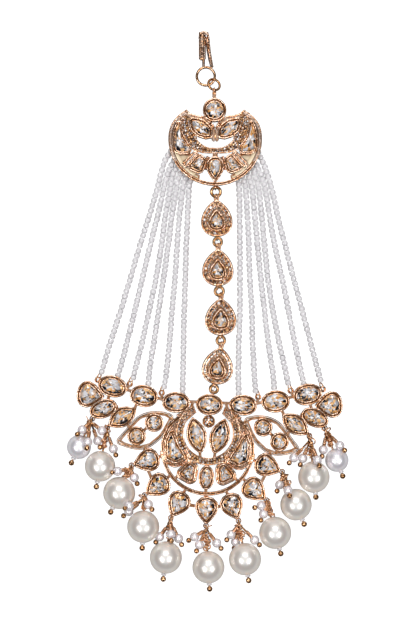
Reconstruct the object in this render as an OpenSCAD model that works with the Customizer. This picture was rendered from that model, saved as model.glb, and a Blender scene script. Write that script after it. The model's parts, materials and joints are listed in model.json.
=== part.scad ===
// Bridal side headpiece laid flat: hook, pierced crescent, chain of pear links,
// wide stone-set panel, twelve seed-bead strands and eleven pearl drops.
// Units are millimetres. X runs right, Y towards the hook, Z up from the table.

/* [Crescents] */
// Outer radius of both crescent castings
crescent_r = 14.5; // [12:0.1:18]
// Width of the crescent rim
rim_w = 1.05; // [0.7:0.05:1.6]
// Height of the crescent rim above its back
rim_h = 1.9; // [1.2:0.1:3]
// Height of the pave channel floor above the back
pave_h = 1.5; // [1:0.1:2.4]
// Height of the upper crescent above the table, on the strand ends
upper_lift = 1.85; // [1.8:0.05:3]

/* [Settings] */
// Thickness of the gold under every stone
floor_t = 0.9; // [0.6:0.1:1.5]
// Height of the setting walls above the back
wall_h = 2.7; // [2:0.1:4]
// Thickness of a setting wall
wall_t = 0.46; // [0.3:0.02:0.8]
// Space between a stone and its wall
seat_gap = 0.09; // [0.06:0.01:0.2]
// Height of a stone's table above the floor of its setting
stone_h = 2.35; // [1.5:0.05:3.5]
// Share of a stone's width that the table takes
table_share = 0.58; // [0.4:0.02:0.75]
// Width of the lip on each side of a pave channel
lip_w = 0.28; // [0.2:0.02:0.4]
// Radius of the pave stones in the links
pave_stone_r = 0.48; // [0.4:0.02:0.5]

/* [Chain] */
// Radius of the ring and eye wire
ring_wire = 0.26; // [0.18:0.02:0.4]
// Height of a pear link from round end to tip
link_l = 11.3; // [11:0.1:12]
// Width of a pear link
link_w = 9.5; // [9:0.1:11]
// Pave stones around one link
link_stone_count = 18; // [14:1:18]

/* [Strands] */
// Radius of a seed-bead strand
strand_r = 0.82; // [0.6:0.02:1.2]

/* [Drops] */
// Radius of the middle pearls
pearl_r = 4.95; // [4:0.05:6]
// Radius of the small cluster pearls
cluster_r = 1.3; // [1:0.05:1.6]
// Radius of a head pin
pin_r = 0.3; // [0.2:0.02:0.5]
// Radius of the ball at the end of a head pin
ball_r = 0.9; // [0.6:0.05:1.2]

/* [Hidden] */
// Places, from the middle of the photograph
upper_at = [2.3, 52.9];
panel_at = [0.54, -29.3];
panel_turn = -2.4;
// Where the last chain ring joins the panel
panel_eye = [1.65, -25.65];
round_n = 48;
oval_n = 20;
stone_n = 14;
wall_out = seat_gap + wall_t;

// Each pear link: centre and lean
links = [[[2.8, 28.3], 1], [[3.15, 13.0], -1], [[4.0, -2.3], -1], [[3.15, -17.5], -9]];
eye_top = 6.95;
eye_low = -5.97;
eye_z = 1.0;

// Upper crescent, right half, counted from its centre
horn = [[14.3, 2.4], [13.6, 4.5], [12.4, 6.2], [10.9, 7.7], [9.1, 8.9], [7.9, 7.8], [6, 7.1], [3.2, 6.7]];
leaf = [[1.5, 0.7], [2.9, 0.45], [5.0, 1.1], [6.7, 2.6], [7.4, 4.4], [7.3, 5.9], [5.8, 5.7],
    [3.8, 5.2], [2.2, 3.9], [1.5, 2.8]];
wedge = [[11.2, 5.2], [10.8, 3.2], [10.3, 0.8], [9.2, -1.0], [7.8, -2.8], [8.2, -4.1], [10.3, -4.4],
    [12.1, -3.8], [12.6, -2.0], [12.6, 0.4], [12.2, 2.9]];
fan = [[5.0, -5.2], [3.2, -6.6], [4.5, -10.5], [8.2, -8.9]];
strip = [[6.15, -4.35], [5.7, -4.8], [9.15, -8.4], [9.6, -7.95]];
band_out = [[0, -4.4], [2.3, -4.4], [4.7, -4.1], [6.9, -3.2], [8.5, -1.4], [9.7, 0.8], [10.5, 3.5],
    [10.5, 6.0], [9.2, 8.2]];
band_in = [[7.7, 7.0], [7.7, 4.5], [7.1, 2.6], [5.9, 0.8], [5.7, -0.3], [4.7, -1.4], [2.6, -2.7],
    [0, -3.0]];
round_at = [-0.2, 8.8];
round_r = 3.57;
drop_at = [0, -9.4];
fill_from = -22;
fill_to = -69;
// Two bars side by side in the opening, on a flat bridge
twin_bar = [[0.15, -0.7], [0.8, -0.7], [0.8, 3.1], [0.15, 3.1]];
twin_bar_h = 2.1;
bridge = [[-1.2, 1.0], [1.2, 1.0], [1.2, 2.2], [-1.2, 2.2]];
bridge_h = 1.2;
// Raised corner beside the small notch under the round setting
corner = [[1.05, 2.45], [1.35, 5.35], [3.3, 5.6], [2.5, 3.3]];
corner_h = 2.3;
// Solder bars: two ends, width, height
upper_bars = [[[0, -4.1], [0, -5.9], 1.6, 1.4], [[0, -12.8], [0, -13.9], 0.9, 1.4],
    [[-0.2, 12.1], [-0.3, 14.5], 1.0, 1.0]];
// Eyes on edge above and below the crescent
upper_eyes = [[-0.3, 15.15, 0.11], [0.1, -14.88, -0.35]];
inlay_h = 0.6;

// Lower crescent, right half, counted from the centre oval
low_centre = [0, -13.8];
low_horn = [[14.35, -11.6], [13.9, -9.9], [12.6, -6.9], [10.0, -4.3], [7.0, -2.0], [5.9, -2.6]];
low_open = [0, -8.9];
low_open_r = 7.8;
low_band_r = 9.8;
low_wedge = [[11.6, -9.0], [10.6, -10.4], [9.7, -12.7], [8.2, -14.9], [7.2, -16.7], [9.9, -18.1],
    [12.2, -17.0], [12.75, -15.2], [12.7, -11.7]];
low_fan = [[5.4, -18.5], [3.8, -19.5], [4.4, -24.1], [8.5, -22.0]];
low_drop_at = [0, -22.6];
bud_at = [0, -5.25];
bud_r = 1.95;
bud_z = 1.0;

// Panel settings: centre, half length, half width, turn, outer sizes of the wall
row_seats = [[[10.4, 0.25], 4.3, 3.15, 0], [[20.4, 1.8], 4.35, 3.35, 8], [[30.2, 4.4], 4.5, 3.25, 14]];
low_seat = [[32.8, -2.7], 4.3, 2.75, -22];
leaf_seats = [[[16.9, -6.3], 2.85], [[22.1, -10.6], 2.85]];
leaf_wire = [[11.6, -4.6], [13.3, -3.7], [15.3, -3.35], [18.4, -3.6], [21.4, -4.9], [23.5, -7.1],
    [25.6, -9.7], [27.8, -12.6],
    [26.0, -13.5], [24.1, -14.1], [21.0, -14.4], [18.0, -13.4], [15.0, -10.8], [13.5, -8.5]];
petal_at = [3.55, -9.7];
petal_lean = -15.8;
petal_l = 10.0;
petal_w = 5.0;
// Pear settings: tip, direction of the tip, length, width
fringe = [[[22.9, -19.7], -20], [[18.5, -28.6], -39], [[10.3, -35.2], -65]];
fringe_l = 8.7;
fringe_w = 7.0;
centre_tip = [0.5, -37.1];
end_at = [37.0, 1.5];
marq_at = [26.8, -5.0];

// Solder bars on the right half of the panel
bars = [[[3.6, 0.6], [6.8, 0.6]], [[6.3, -2.9], [5.1, 0.5]], [[14.2, 0.8], [16.8, 1.4]],
    [[24.2, 3.0], [26.3, 3.6]],
    [[22.6, -1.0], [23.4, -2.7]], [[31.8, -0.9], [31.2, 1.9]], [[28.9, -1.5], [28.4, -3.3]],
    [[11.9, -4.9], [10.6, -5.4]], [[25.4, -7.2], [24.3, -8.5]], [[18.7, -7.7], [20.2, -9.1]],
    [[21.6, -13.0], [21.4, -14.2]], [[19.3, -13.6], [19.6, -15.6]], [[14.0, -16.6], [15.7, -17.1]],
    [[18.3, -21.0], [17.1, -23.6]], [[11.2, -22.5], [12.8, -24.0]], [[6.1, -26.3], [7.2, -28.5]],
    [[3.2, -31.7], [6.0, -31.4]], [[5.1, -17.0], [5.9, -19.0]], [[8.4, -21.8], [9.7, -23.6]],
    [[2.4, -14.4], [2.1, -17.2]], [[15.0, 2.4], [14.7, 0.7]], [[25.1, 4.8], [26.0, 3.6]],
    [[31.3, -8.2], [30.4, -7.2]], [[36.0, -5.5], [35.3, -4.4]]];
bar_w = 0.9;

// Strand routes from the crescent down to the panel
left_routes = [
    [[-11.0, 50.0], [-13.1, 46.8], [-14.5, 42.5], [-15.8, 37.2], [-18.6, 27.9], [-21.5, 18.6],
        [-24.2, 9.3], [-27, 0], [-30, -9.3], [-32.6, -18.0], [-33.0, -19.7]],
    [[-10.1, 47.1], [-11.75, 44.1], [-12.95, 40.6], [-13.75, 37.2], [-15.9, 27.9], [-18.2, 18.6],
        [-20.4, 9.3], [-22.6, 0], [-24.9, -9.3], [-27.2, -18.2], [-27.9, -20.6]],
    [[-8.7, 45.7], [-10.25, 43.2], [-11.25, 40.4], [-11.7, 37.2], [-13.4, 27.9], [-14.6, 18.6],
        [-16.2, 9.3], [-18.2, 0], [-20.2, -9.3], [-22.6, -18.8], [-23.3, -21.6]],
    [[-7.1, 44.3], [-8.4, 42.5], [-9.35, 40.2], [-9.8, 37.2], [-11.3, 27.9], [-12.45, 18.6],
        [-13.8, 9.3], [-15.2, 0], [-16.6, -9.3], [-18.1, -18.6], [-18.4, -22.5]],
    [[-5.5, 43.1], [-6.6, 41.5], [-7.45, 39.8], [-7.85, 37.2], [-8.9, 27.9], [-9.6, 18.6],
        [-10.2, 9.3], [-11.1, 0], [-11.8, -9.3], [-13.0, -20.4], [-13.7, -24.3]],
    [[-4.0, 42.0], [-4.95, 40.7], [-5.6, 39.4], [-5.85, 37.2], [-6.3, 27.9], [-6.7, 18.6], [-7, 9.3],
        [-7.3, 0], [-7.5, -9.3], [-7.7, -20.4], [-7.8, -25.0]]];
right_routes = [
    [[7.8, 42.5], [8.8, 41.2], [9.5, 39.6], [9.8, 37.2], [9.9, 27.9], [10, 18.6], [10, 9.3], [10, 0],
        [9.7, -9.3], [9.5, -20.4], [9.6, -26.0]],
    [[9.3, 43.5], [10.5, 42], [11.3, 40], [11.8, 37.2], [12.4, 27.9], [12.8, 18.6], [13.1, 9.3],
        [13.7, 0], [13.9, -9.3], [14.5, -20.4], [14.9, -25.6]],
    [[10.85, 44.7], [12.2, 42.8], [13.15, 40.3], [13.85, 37.2], [14.7, 27.9], [15.6, 18.6],
        [16.5, 9.3], [17.6, 0], [18.7, -9.3], [20.3, -20.4], [20.6, -24.1]],
    [[12.4, 45.9], [14, 43.4], [15.1, 40.4], [15.9, 37.2], [16.9, 27.9], [17.8, 18.6], [18.8, 9.3],
        [20.2, 0], [22, -9.3], [24.3, -19.8], [25.0, -22.9]],
    [[13.9, 47.1], [15.7, 44], [17, 40.7], [17.95, 37.2], [19.4, 27.9], [21.1, 18.6], [23.2, 9.3],
        [25, 0], [26.8, -9.3], [29.0, -19.4], [29.6, -22.2]],
    [[15.4, 49.6], [16.9, 46.4], [18.3, 42.8], [20, 37.2], [22, 27.9], [24.4, 18.6], [26.8, 9.3],
        [29.3, 0], [31.7, -9.3], [34.5, -19.8], [35.1, -22.0]]];

// Pearl drops, left to right: pearl centre, radius, reach of the pin past the centre
drops = [[[-39.8, -42.3], 3.7, 5.4], [[-33.2, -48.2], 4.7, 6.4], [[-27.3, -56.4], pearl_r, 6.5],
    [[-19.9, -66.8], pearl_r, 6.6], [[-12.9, -76.3], pearl_r, 6.6], [[0.2, -79.3], pearl_r, 6.6],
    [[11.5, -76.8], pearl_r, 6.6], [[20.8, -68.7], pearl_r, 6.6], [[27.2, -60.0], 4.85, 6.5],
    [[32.7, -51.5], 4.85, 6.2], [[39.9, -46.4], 3.6, 5.2]];
// Where the outer two drops hang, right half of the panel
hang = [[36.1, -5.9], [31.4, -8.6]];
drop_eye_z = 1.5;
drop_eye_r = 0.72;
drop_loop_z = 2.6;
drop_reach = 1.8;
// Small pearls: place, height of the centre, drop they belong to
cluster = [[[-38.7, -36.9], 5.6, 0], [[-32.6, -37.2], 5.0, 0], [[-36.8, -40.5], 7.6, 0],
    [[-34.0, -40.4], 3.6, 0],
    [[-29.2, -42.9], 3.2, 1], [[-27.7, -49.5], 7.3, 2], [[-22.7, -51.8], 3.4, 2], [[-24.0, -60.0], 9.1, 3],
    [[-24.4, -62.3], 3.4, 3], [[-18.3, -59.9], 5.0, 3], [[-11.3, -69.0], 5.8, 4], [[-9.0, -70.6], 3.6, 4],
    [[-14.9, -70.2], 2.6, 4], [[-4.1, -70.1], 3.4, 5], [[-2.6, -72.5], 3.8, 5], [[2.8, -72.0], 3.5, 5],
    [[7.2, -69.4], 3.4, 6], [[8.6, -71.9], 1.95, 6], [[14.5, -71.1], 3.4, 6], [[16.5, -60.4], 4.2, 7],
    [[17.2, -63.0], 3.6, 7], [[22.2, -54.0], 3.6, 8], [[24.6, -55.3], 8.3, 8], [[26.6, -45.7], 3.4, 9],
    [[29.4, -45.9], 3.0, 9], [[33.6, -46.0], 8.0, 9], [[35.7, -43.2], 3.2, 10], [[40.7, -41.7], 5.6, 10]];
hub_rise = 0.9;
hub_sink = 0.15;
stalk_r = 0.24;
small_pin_r = 0.18;
small_ball_r = 0.7;
thread_gap = 0.12;

function mid(a, b) = (a + b) / 2;
function spin(p, t) = [p[0] * cos(t) - p[1] * sin(t), p[0] * sin(t) + p[1] * cos(t)];
function put(pts, at, t = 0) = [for (p = pts) at + spin(p, t)];
function flip(pts) = [for (i = [len(pts) - 1:-1:0]) [-pts[i][0], pts[i][1]]];
function side(pts, s) = s > 0 ? pts : flip(pts);
function oval(a, b, n = oval_n) = [for (i = [0:n - 1]) [a * cos(360 * i / n), b * sin(360 * i / n)]];
function arc(r, a, b, n) = [for (i = [0:n]) [r * cos(a + (b - a) * i / n), r * sin(a + (b - a) * i / n)]];
// Pear with its tip towards +X
function pear(l, w, n = oval_n) = [for (i = [0:n - 1]) let (t = 360 * i / n)
    [l / 2 * cos(t), w / 2 * sin(t) * abs(sin(t / 2)) / 0.77]];
// Almond with a soft tip towards +X
function almond(l, w, n) = [for (i = [0:n - 1]) let (t = 360 * i / n)
    [l / 2 * cos(t), w / 2 * sin(t) * sqrt(abs(sin(t / 2))) / 0.862]];
// Marquise with its tips on X
function marquise(l, w, n = oval_n) = [for (i = [0:n - 1]) let (t = 360 * i / n)
    [l / 2 * cos(t), w / 2 * sin(t) * abs(sin(t))]];
function clipped(p, f) = [for (i = [0:len(p) - 1]) for (k = [-1, 1])
    p[i] + f * (p[(i + k + len(p)) % len(p)] - p[i])];
function out_of(a, b) = let (d = b - a) [d[1], -d[0]] / norm(d);
function grown(p, g) = let (n = len(p)) [for (i = [0:n - 1])
    let (u = out_of(p[(i + n - 1) % n], p[i]), v = out_of(p[i], p[(i + 1) % n]))
    p[i] + g * (u + v) / max(0.22, 1 + u * v)];
function centre_of(p) = [for (k = [0, 1]) [for (q = p) 1] * [for (q = p) q[k]] / len(p)];
function toward(p, c, s) = [for (q = p) c + s * (q - c)];
// Points at even distances along a closed outline
function spaced(p, count) = let (m = len(p),
    run = [for (i = 0, s = 0; i <= m; s = s + norm(p[(i + 1) % m] - p[i % m]), i = i + 1) s])
    [for (k = [0:count - 1]) let (s = (k + 0.5) * run[m] / count)
        [for (a = [0, 1]) lookup(s, [for (i = [0:m]) [run[i], p[i % m][a]]])]];
function halfway(p) = [for (i = [0:len(p) - 1]) mid(p[i], p[(i + 1) % len(p)])];

// Outlines of the stones on the right half of the panel
function row_stone(i) = put(oval(row_seats[i][1] - wall_out, row_seats[i][2] - wall_out, stone_n),
    row_seats[i][0], row_seats[i][3]);
function low_stone() = put(oval(low_seat[1] - wall_out, low_seat[2] - wall_out, stone_n), low_seat[0],
    low_seat[3]);
function end_stone() = put(pear(7.2, 7.0, stone_n), end_at, 186);
function marq_stone() = put(marquise(8.6, 4.9, stone_n), marq_at, -34);
function leaf_stone(i) = put(oval(leaf_seats[i][1] - wall_out, leaf_seats[i][1] - wall_out, 10),
    leaf_seats[i][0], 9);
function petal_stone() = put(marquise(petal_l, petal_w, 16), petal_at, 90 + petal_lean);
function pear_stone(tip, a) = put(pear(fringe_l - 1.6, fringe_w - 2 * wall_out, stone_n),
    tip - (fringe_l / 2) * [cos(a), sin(a)], a);
centre_stone = oval(4.1 - wall_out, 3.2 - wall_out, stone_n);
low_drop_stone = put(oval(1.75, 3.1, stone_n), low_drop_at);
upper_drop_stone = put(pear(6.5, 4.3, stone_n), drop_at, -90);
upper_round_stone = put(oval(round_r - wall_out, round_r - wall_out, 16), round_at);
fan_stone = clipped(fan, 0.16);
low_fan_stone = clipped(low_fan, 0.16);
right_panel_stones = [row_stone(0), row_stone(1), row_stone(2), low_stone(), end_stone(), marq_stone(),
    leaf_stone(0), leaf_stone(1), petal_stone(), pear_stone(fringe[0][0], fringe[0][1]),
    pear_stone(fringe[1][0], fringe[1][1]), pear_stone(fringe[2][0],
        fringe[2][1]), low_wedge, low_fan_stone];
middle_panel_stones = [centre_stone, low_drop_stone, pear_stone(centre_tip, -90)];
right_upper_stones = [leaf, wedge, fan_stone, strip];

// A cut stone: culet flat, girdle band, ring of crown facets, table
module stone(pts, top = stone_h, seat = floor_t) {
    n = len(pts);
    c = centre_of(pts);
    low = toward(pts, c, 0.62);
    high = toward(halfway(pts), c, table_share / 0.9);
    girdle = top * 0.55;
    z = seat + seat_gap;
    v = concat([for (q = low) [q[0], q[1], z]], [for (q = pts) [q[0], q[1], z + girdle]],
        [for (q = pts) [q[0], q[1], z + girdle + 0.1 * top]], [for (q = high) [q[0], q[1],
            z + top - seat_gap]]);
    f = concat([[for (i = [0:n - 1]) i]],
        [for (i = [0:n - 1]) for (k = [0, 1]) [i + k * n, i + (k + 1) * n, (i + 1) % n + (k + 1) * n,
            (i + 1) % n + k * n]],
        [for (i = [0:n - 1]) [i + 2 * n, i + 3 * n, (i + 1) % n + 2 * n]],
        [for (i = [0:n - 1]) [i + 3 * n, (i + 1) % n + 3 * n, (i + 1) % n + 2 * n]],
        [[for (i = [n - 1:-1:0]) i + 3 * n]]);
    polyhedron(v, f);
}

module slab(pts, z, h) {
    translate([0, 0, z])
        linear_extrude(h)
            polygon(pts);
}

module bar(a, b, w = bar_w, h = floor_t + 0.5) {
    d = (b - a) / norm(b - a);
    s = w / 2 * [-d[1], d[0]];
    slab([a - s, b - s, b + s, a + s], 0, h);
}

module rod(a, b, r, n = 6) {
    d = b - a;
    l = norm(d);
    translate(a)
        rotate([0, acos(d[2] / l), atan2(d[1], d[0])])
            cylinder(h = l, r = r, $fn = n);
}

module hoop(r, w) {
    rotate_extrude($fn = round_n)
        translate([r, 0])
            circle(w, $fn = 20);
}

// An eye standing on edge along direction a
module edge_eye(at, a, r = 0.72, w = ring_wire - 0.02) {
    translate([at[0], at[1], eye_z])
        rotate([90, 0, a])
            hoop(r, w);
}

// A round tube swept along points, for a strand
module strand(route) {
    n = 8;
    m = len(route);
    v = [for (i = [0:m - 1])
        let (d = route[min(i + 1, m - 1)] - route[max(i - 1, 0)], s = [-d[1], d[0]] / norm(d))
        for (k = [0:n - 1]) [route[i][0] + s[0] * strand_r * cos(360 * k / n),
            route[i][1] + s[1] * strand_r * cos(360 * k / n), strand_r + strand_r * sin(360 * k / n)]];
    f = concat([[for (k = [0:n - 1]) k]], [[for (k = [n - 1:-1:0]) (m - 1) * n + k]],
        [for (i = [0:m - 2]) for (k = [0:n - 1]) [i * n + k, (i + 1) * n + k, (i + 1) * n + (k + 1) % n]],
        [for (i = [0:m - 2]) for (k = [0:n - 1]) [i * n + k, (i + 1) * n + (k + 1) % n,
            i * n + (k + 1) % n]]);
    polyhedron(v, f);
}

function panel_row(p) = panel_at + spin(p, panel_turn);
// Middle of the eye that drop i hangs from
function drop_eye(i) = let (k = min(i, 10 - i), s = i < 5 ? -1 : 1,
    q = k < 2 ? hang[k] : k < 5 ? fringe[k - 2][0] + eye_step * [cos(fringe[k - 2][1]),
        sin(fringe[k - 2][1])]
        : centre_tip - [0, eye_step]) panel_row(k == 5 ? q : [s * q[0], q[1]]);
function drop_way(i) = let (d = drops[i][0] - drop_eye(i)) d / norm(d);
function drop_loop(i) = let (q = drop_eye(i) + drop_reach * drop_way(i)) [q[0], q[1], drop_loop_z];
function drop_pearl(i) = [drops[i][0][0], drops[i][0][1], drops[i][1]];
function pin_way(i) = let (d = drop_pearl(i) - drop_loop(i)) d / norm(d);
function drop_low(i) = let (q = drop_eye(i)) [q[0], q[1], drop_eye_z];
function ring_top(i) = mid(drop_low(i), drop_loop(i)) + [0, 0, norm(drop_loop(i) - drop_low(i)) / 2];
// Point above the ring where the small head pins meet
function hub(i) = ring_top(i) + [0, 0, hub_rise];
function small_pearl(c) = [c[0][0], c[0][1], c[1]];

module wall_of(pts) {
    slab(grown(pts, wall_out), 0, wall_h);
}

module pocket_of(pts) {
    slab(grown(pts, seat_gap), floor_t, wall_h + 1);
}

// Closed band between an outline and its inset
module rail(pts, w, z, h) {
    n = len(pts);
    translate([0, 0, z])
        linear_extrude(h)
            polygon(concat(pts, grown(pts, -w)), [[for (i = [0:n - 1]) i], [for (i = [0:n - 1]) n + i]]);
}

// A ring through two eyes, as wide as they are apart
module ring_between(a, b, w) {
    d = b - a;
    translate(mid(a, b))
        rotate([0, -asin(d[2] / norm(d)), atan2(d[1], d[0])])
            hoop(norm(d) / 2, w);
}

crescent_line = let (half = concat(arc(crescent_r, -87, 7, 24), horn)) concat(half, flip(half));
band_line = concat([for (i = [len(band_out) - 1:-1:1]) [-band_out[i][0], band_out[i][1]]],
    band_out, band_in,
    [for (i = [len(band_in) - 2:-1:0]) [-band_in[i][0], band_in[i][1]]]);
fill_plate = concat(arc(13.9, fill_to, fill_from, 10), [[12.2, -4.2], [8.2, -4.5], [6.7, -4.4],
    [9.8, -7.8], [8.5, -9.3], [4.7, -11.2]]);
side_plate = concat(arc(13.9, -24, 8, 8), [[13.2, 4.4], [12.1, 6.0], [10.7, 7.4], [9.4, 7.9],
    [9.9, 4.5], [9.3, 1.5], [8, -1.2],
    [7.3, -3.2], [8.2, -4.6], [12.2, -4.4]]);
low_plate = concat([for (p = arc(13.9, -16, 12, 10)) low_centre + p], [[12.6, -8.2], [10.6, -5.6],
    [9.2, -5.2], [9.3, -9.5],
    [8.6, -12.6], [7, -15.6], [7.2, -17], [10, -18.4], [12.2, -17.6]]);
inlay_high = concat(arc(13.28, -35, -23, 4), [[12.0, -5.2], [8.7, -5.15], [8.05, -5.3]]);
inlay_low = concat(arc(13.28, -66, -46, 5), [[8.6, -9.75], [5.2, -11.7]]);

module upper_crescent() {
    color("goldenrod")
        translate([upper_at[0], upper_at[1], upper_lift])
            difference() {
                union() {
                    rail(crescent_line, rim_w, 0, rim_h);
                    slab(band_line, 0, pave_h);
                    rail(band_line, lip_w, 0, rim_h);
                    for (s = [-1, 1]) {
                        for (p = right_upper_stones)
                            wall_of(side(p, s));
                        slab(side(fill_plate, s), 0, floor_t);
                        slab(side(side_plate, s), 0, floor_t);
                        slab(side(twin_bar, s), 0, twin_bar_h);
                        slab(side(corner, s), 0, corner_h);
                    }
                    wall_of(upper_round_stone);
                    wall_of(upper_drop_stone);
                    slab(bridge, 0, bridge_h);
                    for (b = upper_bars)
                        bar(b[0], b[1], b[2], b[3]);
                    for (q = upper_eyes)
                        translate([0, 0, q[2] - eye_z])
                            edge_eye([q[0], q[1]], 90);
                }
                for (s = [-1, 1])
                    for (p = right_upper_stones)
                        pocket_of(side(p, s));
                pocket_of(upper_round_stone);
                pocket_of(upper_drop_stone);
            }
}

module upper_stones(list) {
    color("lavender")
        translate([upper_at[0], upper_at[1], upper_lift])
            for (p = list)
                stone(p);
}

module upper_round() {
    upper_stones([upper_round_stone]);
}

module upper_leaf_stones() {
    upper_stones([leaf, flip(leaf)]);
}

module upper_wedge_stones() {
    upper_stones([wedge, flip(wedge)]);
}

module upper_fan_stones() {
    upper_stones([fan_stone, flip(fan_stone)]);
}

module upper_baguettes() {
    upper_stones([strip, flip(strip)]);
}

module upper_drop() {
    upper_stones([upper_drop_stone]);
}

module upper_inlay() {
    color("moccasin")
        translate([upper_at[0], upper_at[1], upper_lift + floor_t + seat_gap])
            for (s = [-1, 1])
                for (p = [inlay_high, inlay_low])
                    slab(side(p, s), 0, inlay_h);
}

// Pear-shaped link, tip up, with an eye at each end
link_n = 28;
link_plate = 1.0;
link_rim = 1.5;
link_rim_share = 0.93;
link_seats_share = 0.83;
link_seat_z = 0.7;
link_bar = [[0, 5.2], [0, 6.4]];
link_stone_line = put(pear(5.4, 4.2, stone_n), [0, -0.6], 90);
link_line = put(almond(link_l, link_w, link_n), [0, 0.12], 90);
link_seats = spaced(toward(put(almond(link_l, link_w, 90), [0, 0.12], 90), [0, 0],
    link_seats_share), link_stone_count);
module pear_link(i) {
    color("goldenrod")
        translate([links[i][0][0], links[i][0][1], 0])
            rotate(links[i][1])
                difference() {
                    union() {
                        slab(link_line, 0, link_plate);
                        linear_extrude(link_rim)
                            polygon(concat(link_line, toward(link_line, [0, 0], link_rim_share)),
                                [[for (k = [0:link_n - 1]) k], [for (k = [0:link_n - 1]) link_n + k]]);
                        wall_of(link_stone_line);
                        bar(link_bar[0], link_bar[1], 0.8, 1.3);
                        edge_eye([0, eye_top], 90);
                        edge_eye([0, eye_low], 90);
                    }
                    pocket_of(link_stone_line);
                    for (q = link_seats)
                        translate([q[0], q[1], link_seat_z])
                            cylinder(h = link_plate, r = pave_stone_r + seat_gap / 2, $fn = 24);
                }
}

module link_pave() {
    color("lavender")
        for (l = links)
            translate([l[0][0], l[0][1], 0])
                rotate(l[1])
                    for (q = link_seats)
                        stone(put(oval(pave_stone_r, pave_stone_r, 8), q), link_rim - link_seat_z,
                            link_seat_z - seat_gap / 2);
}

module link_stones() {
    color("lavender")
        for (l = links)
            translate([l[0][0], l[0][1], 0])
                rotate(l[1])
                    stone(link_stone_line);
}

function link_eye(i, y) = let (q = links[i][0] + spin([0, y], links[i][1])) [q[0], q[1], eye_z];

module chain_rings() {
    color("goldenrod") {
        ring_between([upper_at[0], upper_at[1], upper_lift] + upper_eyes[1],
            link_eye(0, eye_top), ring_wire);
        for (i = [0:2])
            ring_between(link_eye(i, eye_low), link_eye(i + 1, eye_top), ring_wire);
        ring_between(link_eye(3, eye_low), [panel_eye[0], panel_eye[1], eye_z], ring_wire);
    }
}

// Outline of the lower crescent's rim, open at the top
low_line = let (half = concat([for (p = arc(crescent_r, -87, 7, 24)) low_centre + p],
    low_horn)) concat(half, flip(half));
low_band = concat([for (p = arc(low_band_r, -228, 48, 40)) low_open + p],
    [for (p = arc(low_open_r, 48, -228, 40)) low_open + p]);
function rev(p) = [for (i = [len(p) - 1:-1:0]) p[i]];
loops = [[35.0, 6.2], [25.0, 5.3], [15.0, 2.9]];
// Opening in the top of the rim, solder bars on the middle line, block that leaves the bead rounded above
rim_break = [[-6, -6], [6, -6], [6, 0], [-6, 0]];
middle_bars = [[[0, -2.9], [0, -4.4], 1.2], [[0, -17.9], [0, -19.2], 1.4], [[0, -26.1], [0, -27.6], 1.0],
    [[0.1, -27.9], [0.2, -29.2], 1.4]];
leaf_wire_w = 0.6;
leaf_wire_h = 1.3;
loop_r = 0.75;
loop_wire = 0.25;
fine_wire = 0.2;
eye_step = 0.5;

module lower_panel() {
    color("goldenrod")
        translate([panel_at[0], panel_at[1], 0])
            rotate(panel_turn)
                difference() {
                    union() {
                        difference() {
                            rail(low_line, rim_w, 0, rim_h);
                            slab(rim_break, -1, rim_h + 2);
                        }
                        slab(low_band, 0, pave_h);
                        rail(low_band, lip_w, 0, rim_h);
                        for (s = [-1, 1]) {
                            for (p = right_panel_stones)
                                wall_of(side(p, s));
                            slab(side(low_plate, s), 0, floor_t);
                            rail(side(rev(leaf_wire), s), leaf_wire_w, 0, leaf_wire_h);
                            for (b = bars)
                                bar([s * b[0][0], b[0][1]], [s * b[1][0], b[1][1]]);
                            for (q = loops)
                                translate([s * q[0], q[1], strand_r])
                                    hoop(loop_r, loop_wire);
                            for (q = hang)
                                translate([s * q[0], q[1], drop_eye_z])
                                    hoop(drop_eye_r, fine_wire);
                            for (q = fringe)
                                translate([s * (q[0][0] + eye_step * cos(q[1])),
                                    q[0][1] + eye_step * sin(q[1]), drop_eye_z])
                                    hoop(drop_eye_r, fine_wire);
                        }
                        for (p = middle_panel_stones)
                            wall_of(p);
                        translate([centre_tip[0], centre_tip[1] - eye_step, drop_eye_z])
                            hoop(drop_eye_r, fine_wire);
                        for (b = middle_bars)
                            bar(b[0], b[1], b[2]);
                        difference() {
                            translate([bud_at[0], bud_at[1], bud_z])
                                sphere(bud_r, $fn = 48);
                            translate([bud_at[0] - 4, bud_at[1] - 4, -4])
                                cube([8, 8, 4]);
                        }
                        edge_eye(spin(panel_eye - panel_at, -panel_turn), 90 - panel_turn);
                    }
                    for (s = [-1, 1])
                        for (p = right_panel_stones)
                            pocket_of(side(p, s));
                    for (p = middle_panel_stones)
                        pocket_of(p);
                }
}

module panel_stones(list) {
    color("lavender")
        translate([panel_at[0], panel_at[1], 0])
            rotate(panel_turn)
                for (p = list)
                    stone(p);
}

module row_stone_centre() {
    panel_stones([centre_stone]);
}

module row_stones_left() {
    panel_stones([for (i = [0:2]) flip(row_stone(i))]);
}

module row_stones_right() {
    panel_stones([for (i = [0:2]) row_stone(i)]);
}

module flank_stones_left() {
    panel_stones([for (p = [end_stone(), low_stone(), marq_stone()]) flip(p)]);
}

module flank_stones_right() {
    panel_stones([end_stone(), low_stone(), marq_stone()]);
}

module leaf_stones() {
    panel_stones([for (s = [-1, 1]) for (i = [0, 1]) side(leaf_stone(i), s)]);
}

module petal_stones() {
    panel_stones([petal_stone(), flip(petal_stone())]);
}

module crescent_stones() {
    panel_stones([low_wedge, flip(low_wedge), low_fan_stone, flip(low_fan_stone), low_drop_stone]);
}

module fringe_stones_left() {
    panel_stones([for (q = fringe) flip(pear_stone(q[0], q[1]))]);
}

module fringe_stones_right() {
    panel_stones([for (q = fringe) pear_stone(q[0], q[1])]);
}

module fringe_stone_centre() {
    panel_stones([pear_stone(centre_tip, -90)]);
}

module bead_strand(route) {
    color("gainsboro")
        strand(route);
}

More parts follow.
